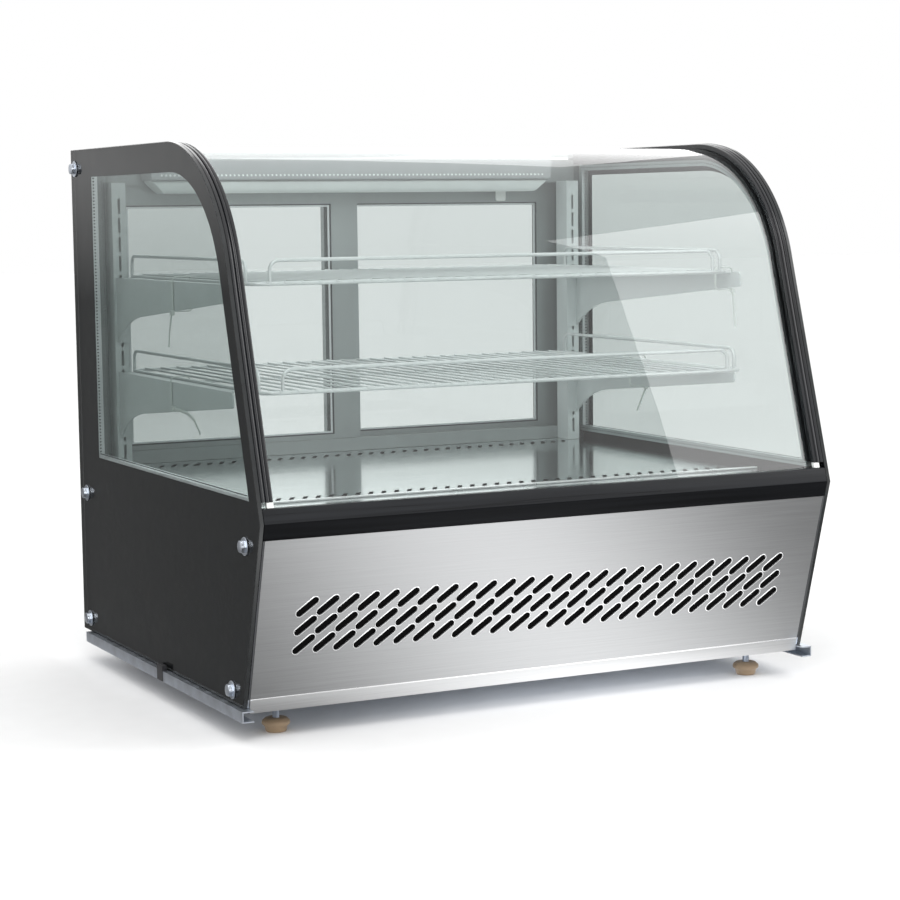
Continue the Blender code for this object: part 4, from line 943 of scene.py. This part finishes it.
def threaded_stud(x, y, sides=18):
    """Radius at height h and angle a: the stud's own, plus a wave of h over the pitch less a
    turn, so the crest climbs as a helix. The last rings taper in."""
    low, high = STUD_Z
    height = np.linspace(low, high, int((high - low) / THREAD_PITCH * RINGS_PER_TURN))[:, None]
    angle = np.linspace(0, 2 * pi, sides, endpoint=False)[None]
    radius = STUD_RADIUS + THREAD_DEPTH * np.cos(2 * pi * height / THREAD_PITCH - angle)
    radius = radius * np.clip((high - height) / TAPER_LENGTH + TIP_SIZE, 0, 1)
    return loft(np.stack((x + radius * np.cos(angle), y + radius * np.sin(angle),
                          np.broadcast_to(height, radius.shape)), -1))


corners = [(x, y) for y in (-FOOT_Y, FOOT_Y) for x in (-FOOT_X, FOOT_X)]
for number, (x, y) in enumerate(corners, 1):
    name = "foot_%d" % number
    piece("levelling_foot_%d" % number, [threaded_stud(x, y), (*turned(PAD, (x, y, 0), "Z", 40), 1)],
          [ZINC, FOOT_TAN], name, [name])

# %% [markdown]
# ## Small parts of the back and the base
# A polished strip lies across the deck, and a plate backs each slotted upright.
# A case like this has a grommet where its cord goes in, copper pipes between
# the compressor and the coils, a lit number on the thermostat, a clip on the
# side rail that holds the glass down, and a clip on the rear rail. They are
# small turned, bent or plated shapes, made with the same helpers.

# %% Deck strip and the plates inside the uprights
BACKING_X, BACKING_Z, BACKING_Y = (0.3332, 0.3488), (0.2640, 0.6340), (0.2562, 0.2570)
STRIP_CORNERS, STRIP_Z = (-0.352, -0.2060, 0.352, -0.1985), (0.2622, 0.2646)
for name, side in SIDES.items():
    x0, x1 = sorted(side * x for x in BACKING_X)
    backing = plate(rectangle(x0, BACKING_Z[0], x1, BACKING_Z[1]), *BACKING_Y, "XZ", 0.0002)
    piece("upright_backing_" + name, [backing], [BRACKET_PAINT], "case")
piece("deck_strip", [plate(rounded(rectangle(*STRIP_CORNERS), 0.002), *STRIP_Z, "XY", 0.0006)],
      [RIM_STEEL], "case")

# %% Cord grommet
GROMMET = ((0.0045, 0.0073), (0.0050, 0.0077), (0.0088, 0.0073), (0.0105, 0.0056), (0.0108, 0.0036),
           (0.0130, 0.0034), (0.0130, 0.0006), (0.0126, 0.0003), (0.0091, 0.0002), (0.0091, -0.0110),
           (0.0045, -0.0110))
piece("cord_grommet", [turned(GROMMET, (0.320, 0.3140, 0.075), "Y")], [MOULDED_BLACK], "case",
      ["cable_gland"])

# %% Copper pipes
PIPE_RADIUS, PIPE_BEND = 0.0032, 0.012
PIPES = (((0.225, 0.016, 0.110), (0.225, -0.080, 0.110), (0.225, -0.180, 0.110), (0.064, -0.180, 0.110)),
         ((0.066, -0.180, 0.060), (0.150, -0.180, 0.060), (0.150, 0.080, 0.060), (0.162, 0.080, 0.060)))


def bent_path(corners, steps=6):
    """A path whose inner corners are replaced by short curves, as a pipe is bent: with t from 0
    to 1, (1 - t) squared times A, plus 2 t (1 - t) times the corner, plus t squared times B."""
    corners = np.array(corners, float)
    t = np.linspace(0, 1, steps)[:, None]
    bends = []
    for before, corner, after in zip(corners, corners[1:], corners[2:]):
        a, b = (corner + (end - corner) / np.linalg.norm(end - corner) * PIPE_BEND for end in (before, after))
        bends.append((1 - t) ** 2 * a + 2 * t * (1 - t) * corner + t ** 2 * b)
    return np.vstack([corners[:1], *bends, corners[-1:]])


piece("copper_pipes", [wire(bent_path(path), PIPE_RADIUS, (0, 0, 1)) for path in PIPES], [COPPER], "case")

# %% The thermostat's number
SEGMENTS = {"a": (0, 1, 1, 0), "b": (1, .5, 0, 1), "c": (1, -.5, 0, 1), "d": (0, -1, 1, 0),
            "f": (-1, .5, 0, 1), "g": (0, 0, 1, 0)}     # (u, v) of the middle, wide, tall
DIGITS = ((0.006, "abcdg"), (-0.006, "acdfg"))     # seen from behind, 3 and then 5
DIGIT_HALF, DIGIT_RISE, BAR_HALF, BAR_REACH = 0.0031, 0.0058, 0.0005, 0.0020
BAR_Y, BAR_EDGE = (0.0001, 0.0004), 0.0001     # off the thermostat's face
low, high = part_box("thermostat")
centre_x, centre_z = (low[0] + high[0]) / 2, (low[2] + high[2]) / 2
bars = []
for place, letters in DIGITS:
    for letter in letters:
        u, v, wide, tall = SEGMENTS[letter]
        x, z = centre_x + place - u * DIGIT_HALF, centre_z + v * DIGIT_RISE
        half_x, half_z = BAR_HALF + wide * BAR_REACH, BAR_HALF + tall * BAR_REACH
        bars.append(plate(rectangle(x - half_x, z - half_z, x + half_x, z + half_z),
                          *(high[1] + off for off in BAR_Y), "XZ", BAR_EDGE))
piece("thermostat_number", bars, [lit("number_red", (0.9, 0.08, 0.03), 1.2, 0.3)], "case")

# %% Clips
CLIP = np.array(((-0.3886, 0.0262), (-0.3738, 0.0262), (-0.3738, 0.0420), (-0.3760, 0.0420),
                 (-0.3760, 0.0284), (-0.3822, 0.0284), (-0.3822, 0.0462), (-0.3886, 0.0462)))
CLIP_ROUND, CLIP_EDGE, CLIP_HALF, BOX_GAP = 0.0008, 0.0006, 0.010, 0.0001
REAR_CLIP, REAR_CLIP_ROUND, REAR_CLIP_Y = (0.232, 0.608, 0.248, 0.626), 0.003, (0.2775, 0.2794)
clip = rounded(CLIP, CLIP_ROUND, 3)
clip[:, 0] = np.maximum(clip[:, 0], cad_low[0] + BOX_GAP)     # it stays inside the solids' box
piece("glass_clip", [plate(clip, -CLIP_HALF, CLIP_HALF, "XZ", CLIP_EDGE)], [MOULDED_BLACK], "case")
rear_clip = rounded(rectangle(*REAR_CLIP), REAR_CLIP_ROUND)
piece("rear_rail_clip", [plate(rear_clip, *REAR_CLIP_Y, "XZ", CLIP_EDGE)], [WHITE_PLASTIC], "case")

# %% [markdown]
# ## Finishes for the solids that stay
# Sheet parts, coils, fans, doors and brackets already have the right shape.
# They could be modelled again, but nothing would be gained, so each only gets
# its finish by name.

# %% Dress the kept solids
KEPT = {
    ZINC: ("base_cabinet", "rail_left", "rail_right", "condenser_fan_plate"),
    FRAME_GREY: ("rear_frame", "door_frame_left", "door_frame_right"),
    DOOR_GLASS: ("door_pane_left", "door_pane_right"),
    BRACKET_PAINT: ("upright_left", "upright_right", "bracket_lower_left", "bracket_lower_right",
                    "bracket_upper_left", "bracket_upper_right"),
    MIRROR_STEEL: ("deck_panel",),
    SATIN_STEEL: ("rear_panel",),
    FOAM_LINER: ("insulated_well",),
    FIN_METAL: ("evaporator_coil", "condenser_coil"),
    GREY_PLASTIC: ("evaporator_fan_plate",),
    WHITE_PLASTIC: ("condensate_tray",),
    MOULDED_BLACK: ("evaporator_fan", "condenser_fan", "control_plate", "power_rocker", "light_rocker"),
    MACHINE_PAINT: ("compressor", "thermostat"),
}
for look, names in KEPT.items():
    for name in names:
        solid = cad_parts[name]
        solid.data.materials.clear()
        solid.data.materials.append(look)
print("kept solids:", sum(len(names) for names in KEPT.values()))

# %% [markdown]
# ## Studio
# The case stands on a plain pale floor in soft white light. The surroundings
# are what shiny things show, so they matter more than the lamps: the eye sees
# white behind the case, while reflections meet a sky that is brightest above.
# The glossy black side meets a grey card, and the brushed panel a strip that is
# bright in its middle. A picture of a studio could stand in for them, but cards
# are easier to move and to dim.

# %% Floor and sky
SKY_LEVELS, SKY_HEIGHTS, SKY_SEEN = (0.80, 1.30), (-0.1, 0.8), 1.0
FLOOR_HALF = 20
scene = bpy.context.scene
scene.cycles.transparent_max_bounces = 24
scene.view_settings.view_transform = "Standard"


def stage_sheet(name, points, faces, material):
    """A surface that belongs to the studio."""
    mesh = bpy.data.meshes.new(name)
    mesh.from_pydata(np.asarray(points, float).tolist(), [], faces)
    mesh.materials.append(material)
    made = bpy.data.objects.new(name, mesh)
    scene.collection.objects.link(made)
    return made


FLOOR = finish("studio_floor", (0.86, 0.86, 0.86), 0.7, tone=0.01, grain=0.00001, Specular_IOR_Level=0.1)
floor = placed(rectangle(-FLOOR_HALF, -FLOOR_HALF, FLOOR_HALF, FLOOR_HALF), 0, "XY")
stage_sheet("floor", floor, [(0, 1, 2, 3)], FLOOR)

sky = bpy.data.worlds.new("soft_sky")
sky.use_nodes = True
scene.world = sky
air = sky.node_tree
background = air.nodes["Background"]
background.inputs["Color"].default_value = (1, 1, 1, 1)
path, direction = node(air, "LightPath"), node(air, "TexCoord")
split, mix = node(air, "SeparateXYZ"), node(air, "Mix")
mix.data_type = "FLOAT"
mix.inputs[3].default_value = SKY_SEEN
connect(air, direction.outputs["Generated"], split.inputs["Vector"],
        between(air, split.outputs["Z"], *SKY_LEVELS, *SKY_HEIGHTS), mix.inputs[2],
        path.outputs["Is Camera Ray"], mix.inputs[0], mix.outputs[0], background.inputs["Strength"])
print("sky from", SKY_LEVELS[0], "to", SKY_LEVELS[1])

# %% Cards that only show in reflections
CARD_X, CARD_Y, CARD_HIGH, CARD_LOW = (-0.42, -1.30), (-0.30, 0.9), 0.9, 0.001
STRIP_HALF, STRIP_Y = 1.4, (-2.0, -0.2)


def card_finish(name, axis, middle, span, strengths, blend):
    """Light whose strength goes from the first to the second of strengths as the distance from
    the middle along an axis goes through the span."""
    made, tree, shader = tree_of(name)
    tree.nodes.remove(shader)
    place, parts, glow = node(tree, "TexCoord"), node(tree, "SeparateXYZ"), node(tree, "Emission")
    away, distance = maths(tree, "SUBTRACT", middle), maths(tree, "ABSOLUTE")
    fall = node(tree, "MapRange", From_Min=span[0], From_Max=span[1], To_Min=strengths[0],
                To_Max=strengths[1])
    fall.interpolation_type = blend
    connect(tree, place.outputs["Object"], parts.inputs["Vector"], parts.outputs[axis], away.inputs[0],
            away.outputs["Value"], distance.inputs[0], distance.outputs["Value"], fall.inputs["Value"],
            fall.outputs["Result"], glow.inputs["Strength"],
            glow.outputs["Emission"], tree.nodes["Material Output"].inputs["Surface"])
    return made


def glossy_card(name, points, faces, look):
    """Seen in reflections, not by the eye, and it takes no soft light away."""
    card = stage_sheet(name, points, faces, look)
    card.visible_camera = card.visible_diffuse = card.visible_shadow = False
    card.visible_transmission = card.visible_volume_scatter = False


near, far = CARD_X
front, back = CARD_Y
glossy_card("side_card", [(near, front, CARD_LOW), (near, back, CARD_LOW), (far, back, CARD_LOW),
                          (far, front, CARD_LOW), (near, back, CARD_HIGH), (far, back, CARD_HIGH)],
            [(0, 1, 2, 3), (1, 4, 5, 2)],
            card_finish("grey_card", "Z", 0.0, (0.46, 0.66), (0.22, 0.80), "LINEAR"))
glossy_card("front_strip", placed(rectangle(-STRIP_HALF, STRIP_Y[0], STRIP_HALF, STRIP_Y[1]), CARD_LOW, "XY"),
            [(0, 1, 2, 3)],
            card_finish("strip_light", "X", 0.105, (0.0, 0.50), (2.35, 0.40), "SMOOTHSTEP"))
print("cards: one beside the case, one before it")

# %% Lamps
def stand(thing, right, up, back, place):
    """Puts a lamp or a camera at its place. The columns of its matrix are its right, up and back."""
    turn = np.eye(4)
    turn[:3] = np.column_stack((right, up, back, place))
    thing.matrix_world = Matrix(turn.tolist())
    scene.collection.objects.link(thing)


def soft_lamp(name, place, target, size, power):
    """A square lamp at a place, turned so that its back is away from the target."""
    data = bpy.data.lights.new(name, "AREA")
    data.shape, data.size, data.energy = "SQUARE", size, power
    lamp = bpy.data.objects.new(name, data)
    back = np.array(place, float) - target
    back /= np.linalg.norm(back)
    right = np.cross((0, 0, 1), back)
    right /= np.linalg.norm(right)
    stand(lamp, right, np.cross(back, right), back, place)
    lamp.visible_camera = False
    return lamp


soft_lamp("key", (-1.2, -2.2, 2.6), (0, 0, 0.35), 1.6, 30)
soft_lamp("fill", (2.2, -1.4, 1.6), (0, 0, 0.35), 1.6, 20)
reflector = soft_lamp("rear_top", (0.9, 2.5, 1.9), (0, 0, 0.5), 2.6, 31)
reflector.visible_diffuse = False     # it only draws the white band along the bend
print("lamps:", len(bpy.data.lights))

# %% [markdown]
# ## Camera
# A long lens from the front left, a little above the shelves. Its place and
# turn were found from the case's own known corners, so it is written as
# numbers: where it stands and three angles.

# %% Camera
CAMERA = np.array((-1.2967355, -2.6060172, 0.5953340))
YAW, PITCH_DOWN, ROLL = 0.46692802, -0.10981029, -0.01140787
FOCAL, MIDDLE, FRAME_SIZE, SENSOR = 2266.3722, (452.0631, 460.2958), 900, 36
ahead = np.array((sin(YAW) * cos(PITCH_DOWN), cos(YAW) * cos(PITCH_DOWN), sin(PITCH_DOWN)))
level_right = np.array((cos(YAW), -sin(YAW), 0))
level_up = np.cross(level_right, ahead)
right = cos(ROLL) * level_right + sin(ROLL) * level_up
up = cos(ROLL) * level_up - sin(ROLL) * level_right
data = bpy.data.cameras.new("studio_camera")
data.sensor_width, data.lens = SENSOR, FOCAL / FRAME_SIZE * SENSOR
data.shift_x, data.shift_y = 0.5 - MIDDLE[0] / FRAME_SIZE, MIDDLE[1] / FRAME_SIZE - 0.5
camera = bpy.data.objects.new("studio_camera", data)
stand(camera, right, up, -ahead, CAMERA)
scene.camera = camera
print("lens:", round(data.lens, 2), "mm")
